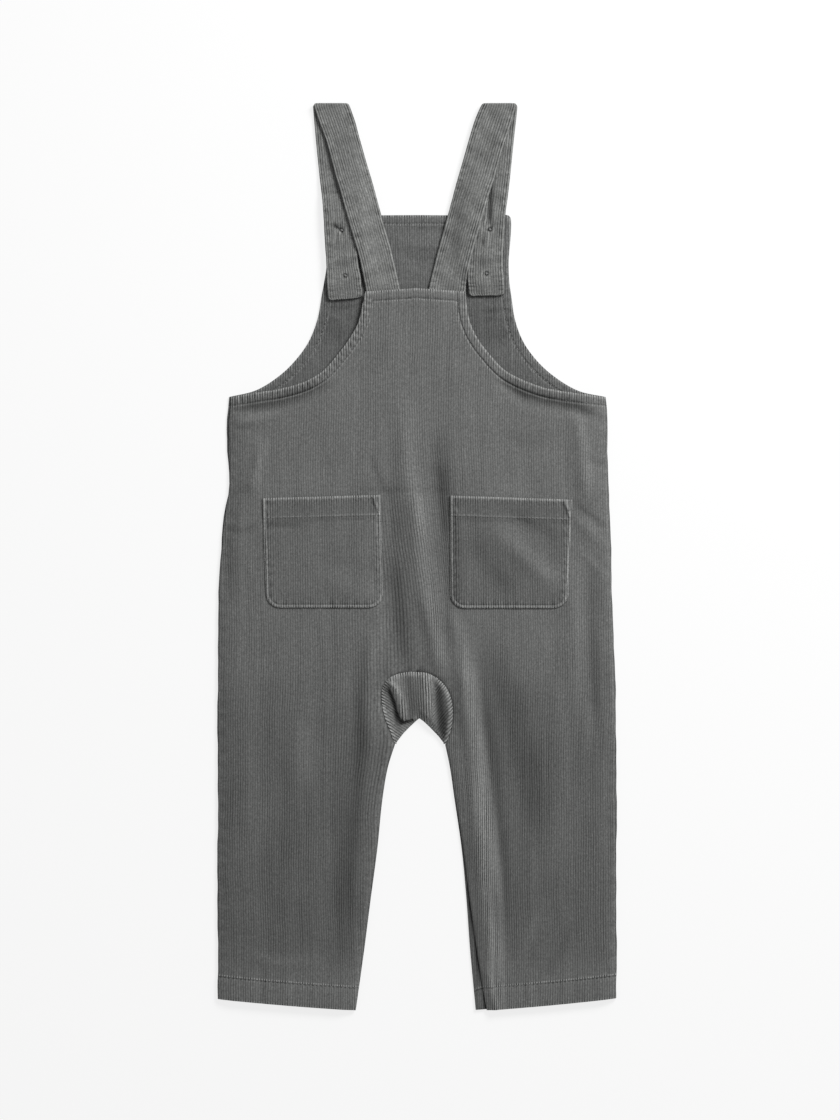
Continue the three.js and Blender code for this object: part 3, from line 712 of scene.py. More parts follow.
def front_surface(points):
    """The front's cloth at any points. It lies flat below, so its relief is all in its thickness."""
    relief, wear_and_painted_light = front_dressing(points)
    creases = soft_folds(points, BIB_CREASES)
    relief += creases + 0.16 * ripple(points, 26, 5)
    thick = np.clip(CLOTH + relief, FRONT_THINNEST, FRONT_THICKEST)
    # painted shade: the bib's inside darker between 150 and 205 mm up, beside the armholes
    wear_and_painted_light -= 0.3 * smoothstep((205 - points[:, 1]) / 25) * smoothstep((150 - points[:, 1]) / -20)
    # a painted shadow on the front along the back's right inseam edge, which lies over it
    wear_and_painted_light -= 2.2 * bell(nearest(points, EDGE["inseam_right"])[0], 0, 1.2)
    edge, row = sewing_marks(points, FRONT_BANDS)
    return {
        "xy": points, "z": bib_lift(points), "thick": thick / FRONT_THICKEST,
        # the creases also painted paler on their ridges and darker in their troughs, as painted light and
        # shade
        "grain": grain_of(points), "wear_and_painted_light": wear_and_painted_light + 0.4 * creases, "edge": edge, "row": row,
    }


FRONT_SHAPE = {
    "top": BIB_Y, "edge": BIB_EDGES, "inseam": {"left": "left", "right": "rightFront"},
    "side": front_side, "across": round(56 * FINENESS), "rows": rows(chest=96, body=24, crotch=16, leg=44),
}
bm = bmesh.new()
for side in BOTH:
    half_panel(bm, side, FRONT_SHAPE, front_surface)
front = finish_sheet(bm, "front", FRONT_THICKEST, offset=1.0, under=1)
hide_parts("front_panel")

# %% [markdown]
# ## Gusset
# The gusset is a small shaped piece, folded across the crotch. Its back half shows, with a pleat where
# it was laid down: the right part lies as a flap over the left part, and a trough runs beside it.

# %% Gusset
GUSSET_CELLS = (96, 84)
PLEAT = np.array([(-20.2, -92.0), (-19.0, -98.4), (-15.6, -108.0), (-12.7, -117.6), (-10.2, -121.2)])
FLAP_END = np.array([(-10.2, -121.5), (-6.0, -121.0), (-2.6, -119.6), (-1.6, -140.0)])
GUSSET_FOLDS = [
    (-3, 4.2, 13, -86, 15.5, -99, 16.6, -113, 18.4, -124, 20, -146),
    (2, 2, -27, -86, -20.4, -92.6, -16, -97, -12.6, -103.5, -10.7, -112, -9, -128),
    (2, 4, 3.5, -76, 6, -92, 7, -106, 10.5, -132),
    (-1.6, 4.4, -8.5, -80, -6, -96, -4.4, -108, -4.5, -130),
    (0.9, 2.2, 23, -96, 24.4, -112, 24.2, -122, 22, -140),
    (-0.9, 3, -18, -112, -14, -124, -10, -132),
]


def gusset_columns(share):
    """Seam and fold of the gusset for shares from its left tip, 0, over its top, 0.5, to its right tip"""
    reach = GUSSET_FOLD["share"][-1]
    seam = np.zeros((len(share), 2))
    crease = np.zeros((len(share), 2))
    for side, mask in (("left", share < 0.5), ("right", share >= 0.5)):
        t = np.abs(share[mask] - 0.5) * 2 * reach
        seam[mask] = line_at(GUSSET_SEAMS, side, t)
        crease[mask] = np.stack([
            column_at(GUSSET_FOLD, "share", side + axis, t) for axis in ("X", "Y")], -1)
    inward = GUSSET_MIDDLE - seam
    seam += 0.25 * inward / np.hypot(*inward.T)[:, None]
    return seam, crease


def gusset_flap(points):
    """1 on the pleat's upper flap, 0 left of it and below its end"""
    x = np.interp(-points[:, 1], -PLEAT[:, 1], PLEAT[:, 0])
    y = np.interp(points[:, 0], FLAP_END[:, 0], FLAP_END[:, 1])
    return smoothstep((points[:, 0] - x + 0.4) / 0.8) * smoothstep((points[:, 1] - y + 0.3) / 0.8)


def gusset_place(across, along):
    """The gusset's cloth: from its seam down to the fold, round the fold and back up underneath"""
    seam, crease = gusset_columns(across)
    out = crease - seam
    reach = np.hypot(*out.T)
    out /= reach[:, None]
    top = back_height(crease) + 0.2
    low = FRONT_Z + 0.2
    radius = (top - low) / 2
    start = crease - out * np.minimum(radius + CLOTH / 2, 0.7 * reach)[:, None]
    # shares of the three stretches: down to the fold, round it, and back up underneath
    down = np.clip(along / 0.5, 0, 1)
    turn = np.clip((along - 0.5) / 0.2, 0, 1)
    up = np.clip((along - 0.7) / 0.3, 0, 1)
    points = seam + (start - seam) * down[:, None]
    flap = gusset_flap(points)
    edge, edge_along = nearest(points, np.concatenate([EDGE["gusset_left"][::-1], EDGE["gusset_right"]]))
    inside = smoothstep(edge / 3.0)
    under = (1 - flap) * smoothstep((-95 - points[:, 1]) / 5)
    lift = (2.1 - 3.5 * under) * inside
    lift += soft_folds(points, GUSSET_FOLDS) * inside + 0.3 * ripple(points, 11, 7) * inside
    ditch, wear_and_painted_light = total([seam_ditch(points, EDGE["gusset_" + s], 0.8, 1.2, 0.25, 4, 0.5) for s in BOTH])
    settle = back_height(points) * (1 - down ** 3) + top * down ** 3
    z = settle + (lift + ditch) * (1 - smoothstep((down - 0.85) / 0.15) * 0.6)
    z = np.maximum(z, low + CLOTH)
    z = np.where(along > 0.5, top + (z - top) * (1 - turn), z)
    rounded = radius * np.sin(np.pi * turn)
    points = points + out * rounded[:, None]
    z = np.where(turn > 0, low + radius * (1 + np.cos(np.pi * turn)), z)
    points = np.where((up > 0)[:, None], start + (seam - start) * up[:, None], points)
    z = np.where(up > 0, low, z)
    rim, _ = nearest(points, PLEAT)
    # painted light and shade: painted highlights along the fold, the flap's rim and the seam's edge, the
    # gusset's folds paler on ridges and darker in troughs, and a painted shadow under the flap's rim and end;
    # 0.7 makes the whole gusset paler
    wear_and_painted_light = wear_and_painted_light + 0.5 * bell(down, 0.97, 0.05) + 0.8 * flap * bell(rim, 0, 1.6)
    wear_and_painted_light += 0.75 * soft_folds(points, GUSSET_FOLDS) * inside
    end, _ = nearest(points, FLAP_END[:3])
    flap_shadow = bell(rim, 0, 2.4) + bell(end, 0, 2.0)
    wear_and_painted_light += 0.7 - 3.6 * under * inside * flap_shadow + 0.4 * bell(edge, 0.9, 0.8)
    turned = smoothstep((points[:, 0] - 10.5 - 0.1 * (points[:, 1] + 108)) / 1.5)
    tilt = np.where(flap > 0.5, 0.05 - 0.75 * turned, 1.0)
    x, y = points[:, 0] - 10.5, points[:, 1] + 108
    grain = np.stack([x * np.cos(tilt) + y * np.sin(tilt), y * np.cos(tilt) - x * np.sin(tilt)], -1)
    return {
        "xy": points, "z": z, "grain": grain, "wear_and_painted_light": wear_and_painted_light, "thick": np.ones(len(points)),
        "edge": side_by_side(edge_along, edge, 0.35), "row": side_by_side(edge_along, FAR, FAR),
    }


bm = bmesh.new()
add_grid(bm, *GUSSET_CELLS, gusset_place)
gusset = finish_sheet(bm, "crotch_gusset", CLOTH)
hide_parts("gusset")

# %% [markdown]
# ## Straps
# Each strap is double cloth, turned and pressed. It lies folded at the shoulder: the front stretch runs
# down over the bib and its lower button, and the back stretch crosses it and goes in under the yoke. The
# cloth thins towards both edges, and dips where a button's thread pulls it down.

# %% Straps
# a section's two edge points and its height; for the back stretch, its height over the front stretch,
# its height at rest beside it, and the share across at which it starts to step down
STRAP_COLUMNS_FRONT = "outerX outerY innerX innerY z"
STRAP_COLUMNS_BACK = "outerX outerY innerX innerY over rest off"
STRAP_FRONTS = {
    "left": [
        (-65.6, 189.6, -40.4, 191.6, 2.8), (-66, 195.5, -40.2, 197, 3.9), (-66.3, 200, -41, 200.5, 5),
        (-66.6, 207.5, -41.6, 207.5, 5.1), (-67, 217, -43.4, 217, 5), (-67.5, 229, -44.4, 229, 5.1),
        (-68.3, 241, -44.6, 241, 5.3), (-69.2, 254, -45.2, 254, 5.2), (-70, 264, -45.8, 264, 4.1),
        (-71.6, 277, -47, 277, 2), (-72.8, 288, -47.8, 288, 1.1), (-74.6, 306, -49, 306, 1.1),
        (-77, STRAP_FOLD_Y, -50.6, STRAP_FOLD_Y, 1.1),
    ],
    "right": [
        (64.6, 193.4, 38.4, 193, 2.8), (64.4, 198.6, 38, 198.4, 4), (64.2, 202, 37.6, 202, 5),
        (63.8, 209, 37.4, 209, 5.1), (63.4, 218, 37.8, 218, 5), (63.8, 230, 38.8, 230, 5.1),
        (64.4, 241.5, 40.2, 241.5, 5.3), (65.4, 254, 41.4, 254, 5.2), (66.8, 264, 42.4, 264, 4.1),
        (68.4, 277, 43.4, 277, 2), (69.6, 288, 44.2, 288, 1.1), (71.4, 306, 46, 306, 1.1),
        (74.4, STRAP_FOLD_Y, 48.2, STRAP_FOLD_Y, 1.1),
    ],
}
STRAP_BACKS = {
    "left": [
        (-76.4, STRAP_FOLD_Y, -49.8, STRAP_FOLD_Y, 3.6, 3.6, 1), (-72.2, 321, -45.6, 321, 3.6, 3.5, 1),
        (-67, 307, -43, 311, 3.8, 3.1, 0.78), (-60.6, 283, -36.8, 289, 4.6, 2.9, 0.62),
        (-57.3, 272, -33.5, 278, 6.2, 2.9, 0.54), (-54, 260.5, -30.4, 267, 7.3, 2.9, 0.44),
        (-48.5, 241, -25, 247.5, 7.8, 2.9, 0.26), (-43, 222.5, -19.6, 228.5, 6.4, 2.8, 0.08),
        (-39.6, 206, -15.2, 209.5, 3.6, 2.7, 0), (-37.6, 197, -13, 199.5, 2.7, 2.7, 0),
        (-36.4, 187.5, -11.4, 189.5, 2.7, 2.7, 0),
    ],
    "right": [
        (73.4, STRAP_FOLD_Y, 47.2, STRAP_FOLD_Y, 3.6, 3.6, 1), (69.6, 320, 42.6, 322, 3.6, 3.5, 1),
        (64.5, 305, 38.8, 309.5, 3.8, 3.1, 0.78), (57.8, 281, 32.6, 287.5, 4.6, 2.9, 0.62),
        (54.2, 270, 29.4, 276.5, 6.2, 2.9, 0.54), (50.8, 259, 26.4, 265.5, 7.3, 2.9, 0.46),
        (44.8, 238, 20.8, 245, 7.8, 2.9, 0.3), (39.8, 219.5, 15.4, 225, 6.4, 2.8, 0.14),
        (37, 204.5, 11, 207.5, 3.6, 2.7, 0), (36, 197, 9, 198.5, 2.7, 2.7, 0),
        (35, 187.5, 7.6, 189, 2.7, 2.7, 0),
    ],
}
FRONT_SHARE, FOLD_SHARE = 0.46, 0.03     # shares of a strap's rows before and in its fold
STRAP_THICKEST, STRAP_WIDTH, STRAP_LENGTH, STRAP_CORNER = 2.5, 25.5, 300.0, 3.2
EDGE_DIP = 2.2                           # from its edge, where the folded-in cloth ends
STRAP_SHADE = {"left": 0.0, "right": 0.13}
STRAP_CREASES = {
    "left": [
        (-2.4, 1.4, -63.5, 246, -58, 242, -53, 239.5), (0.9, 1.1, -57, 242, -55.5, 228),
        (-1.2, 1.1, -57, 247, -55, 235), (0.9, 1.2, -60, 243, -61, 228), (-1, 1, -59, 240, -60, 228),
        (-0.6, 1.6, -66, 268, -50, 270), (0.5, 2.5, -66, 224, -48, 221),
        (-0.5, 2.5, -66, 217, -46, 215),
    ],
    "right": [
        (-2.4, 2.2, 54, 306, 54, 265, 53.3, 238), (1.2, 1.3, 49.6, 276, 50.3, 238),
        (-1.6, 1.1, 57, 246, 54, 241, 49, 240), (0.9, 1.2, 53, 241, 51.5, 227),
        (0.8, 1.2, 46.5, 248, 50, 232), (-1, 1, 50, 240, 48, 228),
        (-0.5, 1.6, 66, 264, 56, 266), (0.5, 2.5, 62, 226, 44, 223), (-0.5, 2.5, 62, 219, 42, 217),
    ],
}


def strap_column(sections, columns, column, at):
    """One column of a strap's table, for shares of the way through its rows"""
    numbered = table(columns, sections)
    numbered["i"] = np.arange(len(sections), dtype=float)
    return column_at(numbered, "i", column, at * (len(sections) - 1))


def strap_centre(side, across, along):
    """Points and heights of the middle of a strap's cloth. Across runs from its outer edge to its inner."""
    def stretch(sections, columns, at):
        outer = np.stack([strap_column(sections, columns, "outer" + k, at) for k in "XY"], -1)
        inner = np.stack([strap_column(sections, columns, "inner" + k, at) for k in "XY"], -1)
        return outer * (1 - across[:, None]) + inner * across[:, None]

    front_at = np.clip(along / FRONT_SHARE, 0, 1)
    back_at = np.clip((along - FRONT_SHARE - FOLD_SHARE) / (1 - FRONT_SHARE - FOLD_SHARE), 0, 1)
    turn = np.clip((along - FRONT_SHARE) / FOLD_SHARE, 0, 1)
    fronts, backs = STRAP_FRONTS[side], STRAP_BACKS[side]
    front_xy = stretch(fronts, STRAP_COLUMNS_FRONT, front_at)
    back_xy = stretch(backs, STRAP_COLUMNS_BACK, back_at)
    front_z = strap_column(fronts, STRAP_COLUMNS_FRONT, "z", front_at)
    over, rest, off = (
        strap_column(backs, STRAP_COLUMNS_BACK, k, back_at) for k in ("over", "rest", "off"))
    back_z = over + (rest - over) * smoothstep((across - off) / 0.55)
    xy = front_xy + (back_xy - front_xy) * turn[:, None]
    xy[:, 1] += STRAP_FOLD_R * np.sin(np.pi * turn)
    fold_z = STRAP / 2 + STRAP_FOLD_R * (1 - np.cos(np.pi * turn))
    z = np.where(turn <= 0, front_z, np.where(turn >= 1, back_z, fold_z))
    return xy, z


def strap_place(side, bend):
    """A function that lays one strap's cloth. The bend only makes the two straps differ."""
    def place(across, along):
        width, length = STRAP_WIDTH, STRAP_LENGTH
        fold_at = FRONT_SHARE + FOLD_SHARE / 2
        corner = np.clip(STRAP_CORNER - along * length, 0, STRAP_CORNER)
        inset = STRAP_CORNER - np.sqrt(STRAP_CORNER ** 2 - corner ** 2)
        inset += 1.2 * bell((along - fold_at) * length, 0, 3.2)
        xy, z = strap_centre(side, 0.5 + (across - 0.5) * (1 - 2 * inset / width), along)
        on_front = along < FRONT_SHARE
        creases = soft_folds(xy, STRAP_CREASES[side]) * on_front
        dots = np.min([np.hypot(*(xy - BUTTONS[side + k]).T) for k in ("_upper", "_lower")], axis=0)
        dots = np.where(on_front, dots, FAR)
        edge = np.minimum(across, 1 - across) * width
        ahead = along * length
        pucker = 0.2 * np.sin(2 * np.pi * (ahead + 2 * np.sin(ahead / 13 + bend)) / 8.5 + across * 2)
        pucker *= bell(edge, EDGE_DIP, 2.0)
        swell = smoothstep(edge / 1.2) * 0.3 + 0.62
        thick = (swell - 0.12 * bell(edge, EDGE_DIP, 0.7)) * STRAP
        flat = smoothstep((along - 0.3) / 0.1) * (1 - smoothstep((along - 0.6) / 0.1))
        z = z + (pucker + 0.28 * ripple(xy, 17, bend)) * (1 - flat) + 0.6 * creases
        z = np.maximum(z - 0.9 * bell(dots, 0, 1.3), STRAP / 2)
        # painted light and shade: puckers and creases paler on their crests and darker in their hollows, and
        # at each button a painted shade in the dimple its thread pulls down, with a paler ring; the ripple
        # and STRAP_SHADE set the strap's own tone
        wear_and_painted_light = 1.5 * pucker + 0.3 * ripple(xy, 14, bend + 2) + 0.7 * creases - STRAP_SHADE[side]
        wear_and_painted_light += 0.6 * bell(dots, 3.0, 0.8) - 1.8 * bell(dots, 1.3, 0.7)
        end = np.minimum(along, 1 - along) * length
        return {
            "xy": xy, "z": z, "wear_and_painted_light": wear_and_painted_light, "thick": thick / STRAP_THICKEST,
            "grain": side_by_side(across * width, ahead),
            "edge": side_by_side(ahead, np.minimum(edge, end) + 0.9, 0.35),
            "row": side_by_side(ahead, FAR, FAR),
        }
    return place


straps = {}
for side, bend in (("left", 1.0), ("right", 4.0)):
    bm = bmesh.new()
    add_grid(bm, 28, round(320 * FINENESS), strap_place(side, bend))
    strap = finish_sheet(bm, "shoulder_strap_" + side, STRAP_THICKEST)
    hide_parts("strap_" + side)
    straps[side] = strap

# %% [markdown]
# ## Pockets
# A patch pocket is laid on the back and takes its shape. Its top is a turned band with a row of stitches
# below it, and its other edges are turned in and stitched down close to the edge, so they look like a
# thin cord with a shadow beside it. The cord is paler, partly from wear and partly as a painted highlight.

# %% Pockets
POCKET_CORNER_R, POCKET_BAND = 10.5, 14.2
POCKET_OFF = CLOTH + 0.12            # height of its cloth over the back's
PUFF, PUFF_REACH = 0.75, 14.0        # how far it bags up, and how far from its stitches
# corners: top left and right, bottom left and right
POCKETS = {
    "left": {"corners": [(-114, 43), (-26.8, 45.5), (-111.3, -37.8), (-25.2, -37.8)],
             "shade": 0.12, "phase": 1.2},
    "right": {"corners": [(24.4, 45), (114.6, 42), (24.8, -38.2), (111.2, -38.2)],
              "shade": 0.28, "phase": 3.7},
}


def pocket_outline(row):
    """Points round the pocket from its top left corner down, along the bottom and up to its top right"""
    tl, tr, bl, br = np.array(row["corners"])
    turn = np.linspace(0, np.pi / 2, 9)
    inward, upward = POCKET_CORNER_R * (1 - np.cos(turn)), POCKET_CORNER_R * (1 - np.sin(turn))
    left = bl + np.stack([inward, upward], -1)
    right = br + np.stack([-inward, upward], -1)
    return np.array([tl, *left, *right[::-1], tr])


def crowd_ends(share):
    """Shares crowded towards both ends"""
    return share - 0.72 * np.sin(2 * np.pi * share) / (2 * np.pi)


def pocket_puff(sewn):
    """How far a pocket bags up, by the distance from its stitches"""
    return PUFF * (1 - (1 - np.minimum(sewn / PUFF_REACH, 1)) ** 2)


def pocket_place(row):
    """A function that lays one pocket's cloth on the back. The phase only makes the two pockets differ."""
    tl, tr, bl, br = np.array(row["corners"])
    outline, phase = pocket_outline(row), row["phase"]

    def place(across, along):
        across, along = crowd_ends(across), crowd_ends(along)
        height = tl[1] - bl[1]
        turn = np.clip((along * height - (height - POCKET_CORNER_R)) / POCKET_CORNER_R, 0, 1)
        inset = POCKET_CORNER_R * (1 - np.sqrt(np.maximum(1 - turn ** 2, 0)))
        left = tl[0] + (bl[0] - tl[0]) * along + inset
        right = tr[0] + (br[0] - tr[0]) * along - inset
        x = left + (right - left) * across
        top = tl[1] + (tr[1] - tl[1]) * across
        points = np.stack([x, top + (bl[1] - top) * along], -1)
        sewn, walked = nearest(points, outline)
        from_top = top - points[:, 1]
        from_edge = np.minimum(sewn, from_top)
        puff = pocket_puff(sewn) * (0.7 + 0.3 * bell(from_top, 0, 9))
        cord = 0.42 * bell(sewn, 0.9, 0.8) - 0.4 * bell(sewn, 2.3, 0.7)
        gather = 0.17 * np.sin(2 * np.pi * (walked + 1.7 * np.sin(walked / 9 + phase)) / 7.5)
        gather *= bell(sewn, 3, 2.6)
        band = smoothstep((POCKET_BAND + 0.4 - from_top) / 1.1)
        groove = bell(from_top, POCKET_BAND, 0.7)
        z = back_height(points) + POCKET_OFF + puff + cord + gather + 0.16 * ripple(points, 21, phase)
        z += 0.35 * band - 0.15 * groove + 0.2 * bell(from_top, POCKET_BAND - 1.3, 0.8)
        z -= 0.35 * bell(from_top, 0, 0.9)
        # a short second row beside the left pocket's right edge
        dashed = (x > tr[0] - 8) & (np.abs(points[:, 1] - 26) < 12) & (tr[0] < 0)
        thin = 0.5 * bell(from_edge, 0, 1.3)
        z -= thin * CLOTH / 2
        # painted light and shade: puckers and the back's folds paler on their crests and darker in their
        # hollows, the cord at the edge paler, partly wear and partly a painted highlight, paler along the
        # band's row and a painted shade just below it; the shade value sets each pocket's own tone and the
        # bars are pale reinforcing stitches
        wear_and_painted_light = 1.6 * gather - 0.1 * band + FOLD_PAINTED_LIGHT * fold_relief(points, lean=0) - row["shade"]
        wear_and_painted_light += 0.5 * bell(from_edge, 0.9, 0.9)
        wear_and_painted_light += 0.9 * groove - 0.35 * bell(from_top, POCKET_BAND + 2.5, 1.4)
        bars = ((tr, -4.6, -0.4, 1.7), (tr, -6.4, -2.2, -1.3), (tl, 1.5, 6.0, 0.8))
        for corner, start, end, strength in bars:
            bar = np.array([corner + (start, -2), corner + (end, -POCKET_BAND)])
            wear_and_painted_light += strength * bell(nearest(points, bar)[0], 0, 0.9)
        side_row = np.where(dashed, sewn - 2.6, FAR)
        return {
            "xy": points, "z": z, "wear_and_painted_light": wear_and_painted_light, "thick": 1 - thin,
            "grain": np.stack([x + 0.011 * points[:, 1] + phase, points[:, 1]], -1),
            "edge": side_by_side(walked + x, from_edge, 0.4),
            "row": side_by_side(walked + x, side_row, POCKET_BAND + 1.1 - from_top),
        }
    return place


pockets = {}
for side, row in POCKETS.items():
    bm = bmesh.new()
    add_grid(bm, round(76 * FINENESS), round(72 * FINENESS), pocket_place(row))
    pocket = finish_sheet(bm, "patch_pocket_" + side, CLOTH)
    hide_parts("pocket_" + side)
    pockets[side] = pocket

# %% [markdown]
# ## Stitching
# The thread matches the cloth. Each stitch is a small long bead half sunk into the cloth, made once with
# few faces and repeated along a line at an even spacing, as a machine sews. All the stitches of one piece
# are one mesh.

# %% Stitching
STITCH_LONG, STITCH_THICK, STITCH_STEP = 2.1, 0.42, 3.0
SUNK = 0.02                         # height of a stitch's middle over the cloth
BUTTON_THREAD_Z = {"_upper": 6.35, "_lower": 6.2}


def add_stitch(bm, middle, ahead, scale=1.0):
    """One stitch: a bead stretched along the seam"""
    turn = Vector((1, 0, 0)).rotation_difference(Vector(ahead)).to_matrix().to_4x4()
    size = Matrix.Diagonal((STITCH_LONG / 2 * scale, STITCH_THICK / 2, STITCH_THICK / 2, 1))
    place = Matrix.Translation(Vector(middle))
    unit = Matrix.Scale(MM, 4)
    bmesh.ops.create_uvsphere(bm, u_segments=6, v_segments=5, radius=1, matrix=unit @ place @ turn @ size)


def refined(line, count):
    """A line of points with more points on it"""
    at = np.linspace(0, len(line) - 1, count)
    return np.stack([np.interp(at, np.arange(len(line)), line[:, k]) for k in (0, 1)], -1)


def walk(line, step):
    """Evenly spaced points on a line, with the way ahead at each"""
    length = lengths(line)

    def point(at):
        return np.stack([np.interp(at, length, line[:, k]) for k in (0, 1)], -1)

    at = np.arange(step / 2, length[-1], step)
    ahead = point(at + 0.4) - point(at - 0.4)
    return point(at), ahead / np.hypot(*ahead.T)[:, None]


def sew(bm, line, height, step=STITCH_STEP):
    """A row of stitches on a surface whose top a function gives"""
    points, ahead = walk(line, step)
    here = height(points)
    before = height(points - ahead * 0.8)
    after = height(points + ahead * 0.8)
    for p, a, z, z0, z1 in zip(points, ahead, here, before, after):
        add_stitch(bm, (p[0], p[1], z + SUNK), (a[0], a[1], (z1 - z0) / 1.6))


def inset_line(line, distance):
    """A line moved sideways: to its left where the distance is positive"""
    ahead = np.gradient(line, axis=0)
    ahead /= np.hypot(*ahead.T)[:, None]
    return line + distance * np.stack([-ahead[:, 1], ahead[:, 0]], -1)


def back_top(points):
    """Height of the upper side of the back's cloth"""
    return back_height(points) + back_dressing(points)[0] + CLOTH / 2


def front_top(points):
    """Height of the upper side of the front's cloth"""
    relief = front_dressing(points)[0] + 0.16 * ripple(points, 26, 5)
    return bib_lift(points) + np.maximum(CLOTH + relief, FRONT_THINNEST)


def thread_piece(name, bm):
    """All the stitches of a bmesh as one piece"""
    piece = mesh_object(name, bm)
    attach(piece, "root")
    return piece


threads = []
bm = bmesh.new()
sew(bm, inset_line(refined(EDGE["yoke"], 49), -YOKE_BAND), back_top)
for side, turn in (("left", 1), ("right", -1)):
    sew(bm, inset_line(EDGE["armhole_" + side], turn * ARMHOLE_BAND)[2:-1], back_top)
    sew(bm, inset_line(EDGE["hem_" + side], turn * -HEM_BAND), back_top)
threads.append(thread_piece("stitching_back", bm))

bm = bmesh.new()
sew(bm, inset_line(refined(EDGE["bib_top"], 49), -BIB_BAND), front_top)
for side, turn in (("left", 1), ("right", -1)):
    sew(bm, inset_line(EDGE["bib_" + side], turn * ARMHOLE_BAND)[4:-3], front_top)
threads.append(thread_piece("stitching_bib", bm))

for side, row in POCKETS.items():
    outline = pocket_outline(row)
    tl, tr, _, _ = np.array(row["corners"])

    def pocket_top(points):
        puff = pocket_puff(nearest(points, outline)[0])
        near_band = np.abs(tl[1] - points[:, 1] - POCKET_BAND) < 3
        return back_height(points) + POCKET_OFF + puff + CLOTH / 2 + np.where(near_band, -0.1, -0.25)

    bm = bmesh.new()
    dense = refined(outline, 90)
    inward = dense.mean(axis=0) - dense
    sew(bm, dense + inward / np.hypot(*inward.T)[:, None], pocket_top)
    sew(bm, np.linspace(tl + (2.4, -POCKET_BAND), tr + (-2.4, -POCKET_BAND), 20), pocket_top)
    sew(bm, np.linspace(tr + (-5.4, -1.5), tr + (-1.4, -POCKET_BAND), 12), pocket_top, 2.4)
    threads.append(thread_piece("stitching_pocket_" + side, bm))

for side in BOTH:
    bm = bmesh.new()
    for level, z in BUTTON_THREAD_Z.items():
        for way in ((1, 0, 0), (0.2, 1, 0), (-1, 1, 0)):
            add_stitch(bm, (*BUTTONS[side + level], z), way, 1.3)
    threads.append(thread_piece("button_thread_" + side, bm))

# %% [markdown]
# ## Corduroy
# Corduroy has raised wales of cut pile with a bare groove between them. The pile is uneven, so some
# wales look paler than their neighbours over a few centimetres, and washing pales the high places. The
# cloth's wear attribute also carries painted light and shade: folds and puckers painted paler on their
# crests and darker in their hollows, painted highlights along edges and painted shadows beside them. The
# wales are too fine to model, so one node group draws them from the cloth's own UV map, in metres, and
# gives a colour and a height for a Bump node. Each cloth uses the group with its own values.

# %% Corduroy node group
WALE_PITCH, WALE_DEPTH, WANDER = 1.81 * MM, 0.35 * MM, 1.1 * MM
RUFFLE_STEP = 4.6         # millimetres from one gather of a turned edge to the next


def feed(inputs, values):
    """Link shader values to a node's inputs, or set those inputs to numbers and colours"""
    for key, value in values.items():
        value = getattr(value, "socket", value)
        if isinstance(value, bpy.types.NodeSocket):
            value.id_data.links.new(value, inputs[key])
        else:
            inputs[key].default_value = value


def add_node(tree, kind, inputs=None, **settings):
    """A shader node with its settings and inputs"""
    node = tree.nodes.new("ShaderNode" + kind)
    for name, value in settings.items():
        setattr(node, name, value)
    feed(node.inputs, inputs or {})
    return node


class Signal:
    """A shader value. Arithmetic on it makes the Math nodes that work it out."""

    def __init__(self, socket):
        self.socket = socket

    def math(self, operation, *others):
        inputs = dict(enumerate((self, *others)))
        return Signal(add_node(self.socket.id_data, "Math", inputs, operation=operation).outputs[0])

    def __add__(self, other):
        return self.math("ADD", other)

    def __sub__(self, other):
        return self.math("SUBTRACT", other)

    def __mul__(self, other):
        return self.math("MULTIPLY", other)

    def __truediv__(self, other):
        return self.math("DIVIDE", other)


def split(vector):
    """The three parts of a vector socket"""
    return map(Signal, add_node(vector.id_data, "SeparateXYZ", {0: vector}).outputs)


def join(x, y):
    """A vector socket from two signals"""
    return add_node(x.socket.id_data, "CombineXYZ", {0: x, 1: y}).outputs[0]


def noise(vector, scale, detail=2.0, rough=0.5):
    """A soft random value between 0 and 1. A larger scale makes it change over a shorter distance."""
    inputs = {"Vector": vector, "Scale": scale, "Detail": detail, "Roughness": rough}
    return Signal(add_node(vector.id_data, "TexNoise", inputs).outputs["Fac"])


def varied(value, amount):
    """1 where a noise is 0.5, and the amount times its difference more or less elsewhere"""
    return (value - 0.5) * amount + 1.0


def near(value, centre, width):
    """The same soft bell as above, as shader nodes"""
    off = (value - centre) / width
    return (off * off * -1.0).math("EXPONENT")


def sewing(edge, row, wander, ridge):
    """Paleness and height from the marks of turned edges and rows of stitches, which are in millimetres"""
    along, away, gather = split(edge)
    wave = ((wander * 4500.0 + along) * (2 * math.pi / RUFFLE_STEP)).math("SINE")
    wave = wave * 0.45 + (ridge * 2.4 - 1.5)
    height = wave * gather * near(away, 0.8, 4.4)
    # painted light and shade on the gathers: the ruffle's crests paler, its hollows darker; the pale line at
    # the edge is partly wear and partly a painted highlight
    pale = height * 1.1 + near(away, 0.6, 0.85) * 1.6
    row_along, *insides = split(row)
    stitch = (row_along * (2 * math.pi / STITCH_STEP)).math("SINE")
    for inside in insides:
        groove = near(inside, 0.0, 0.6)
        # painted shade in the row's groove, with paler stitches in it, and a painted highlight on the lip
        # beside it
        pale = pale + groove * (stitch * 0.35 - 0.5) + near(inside, 1.1, 0.55) * 1.25
        height = height - groove
    return pale, height


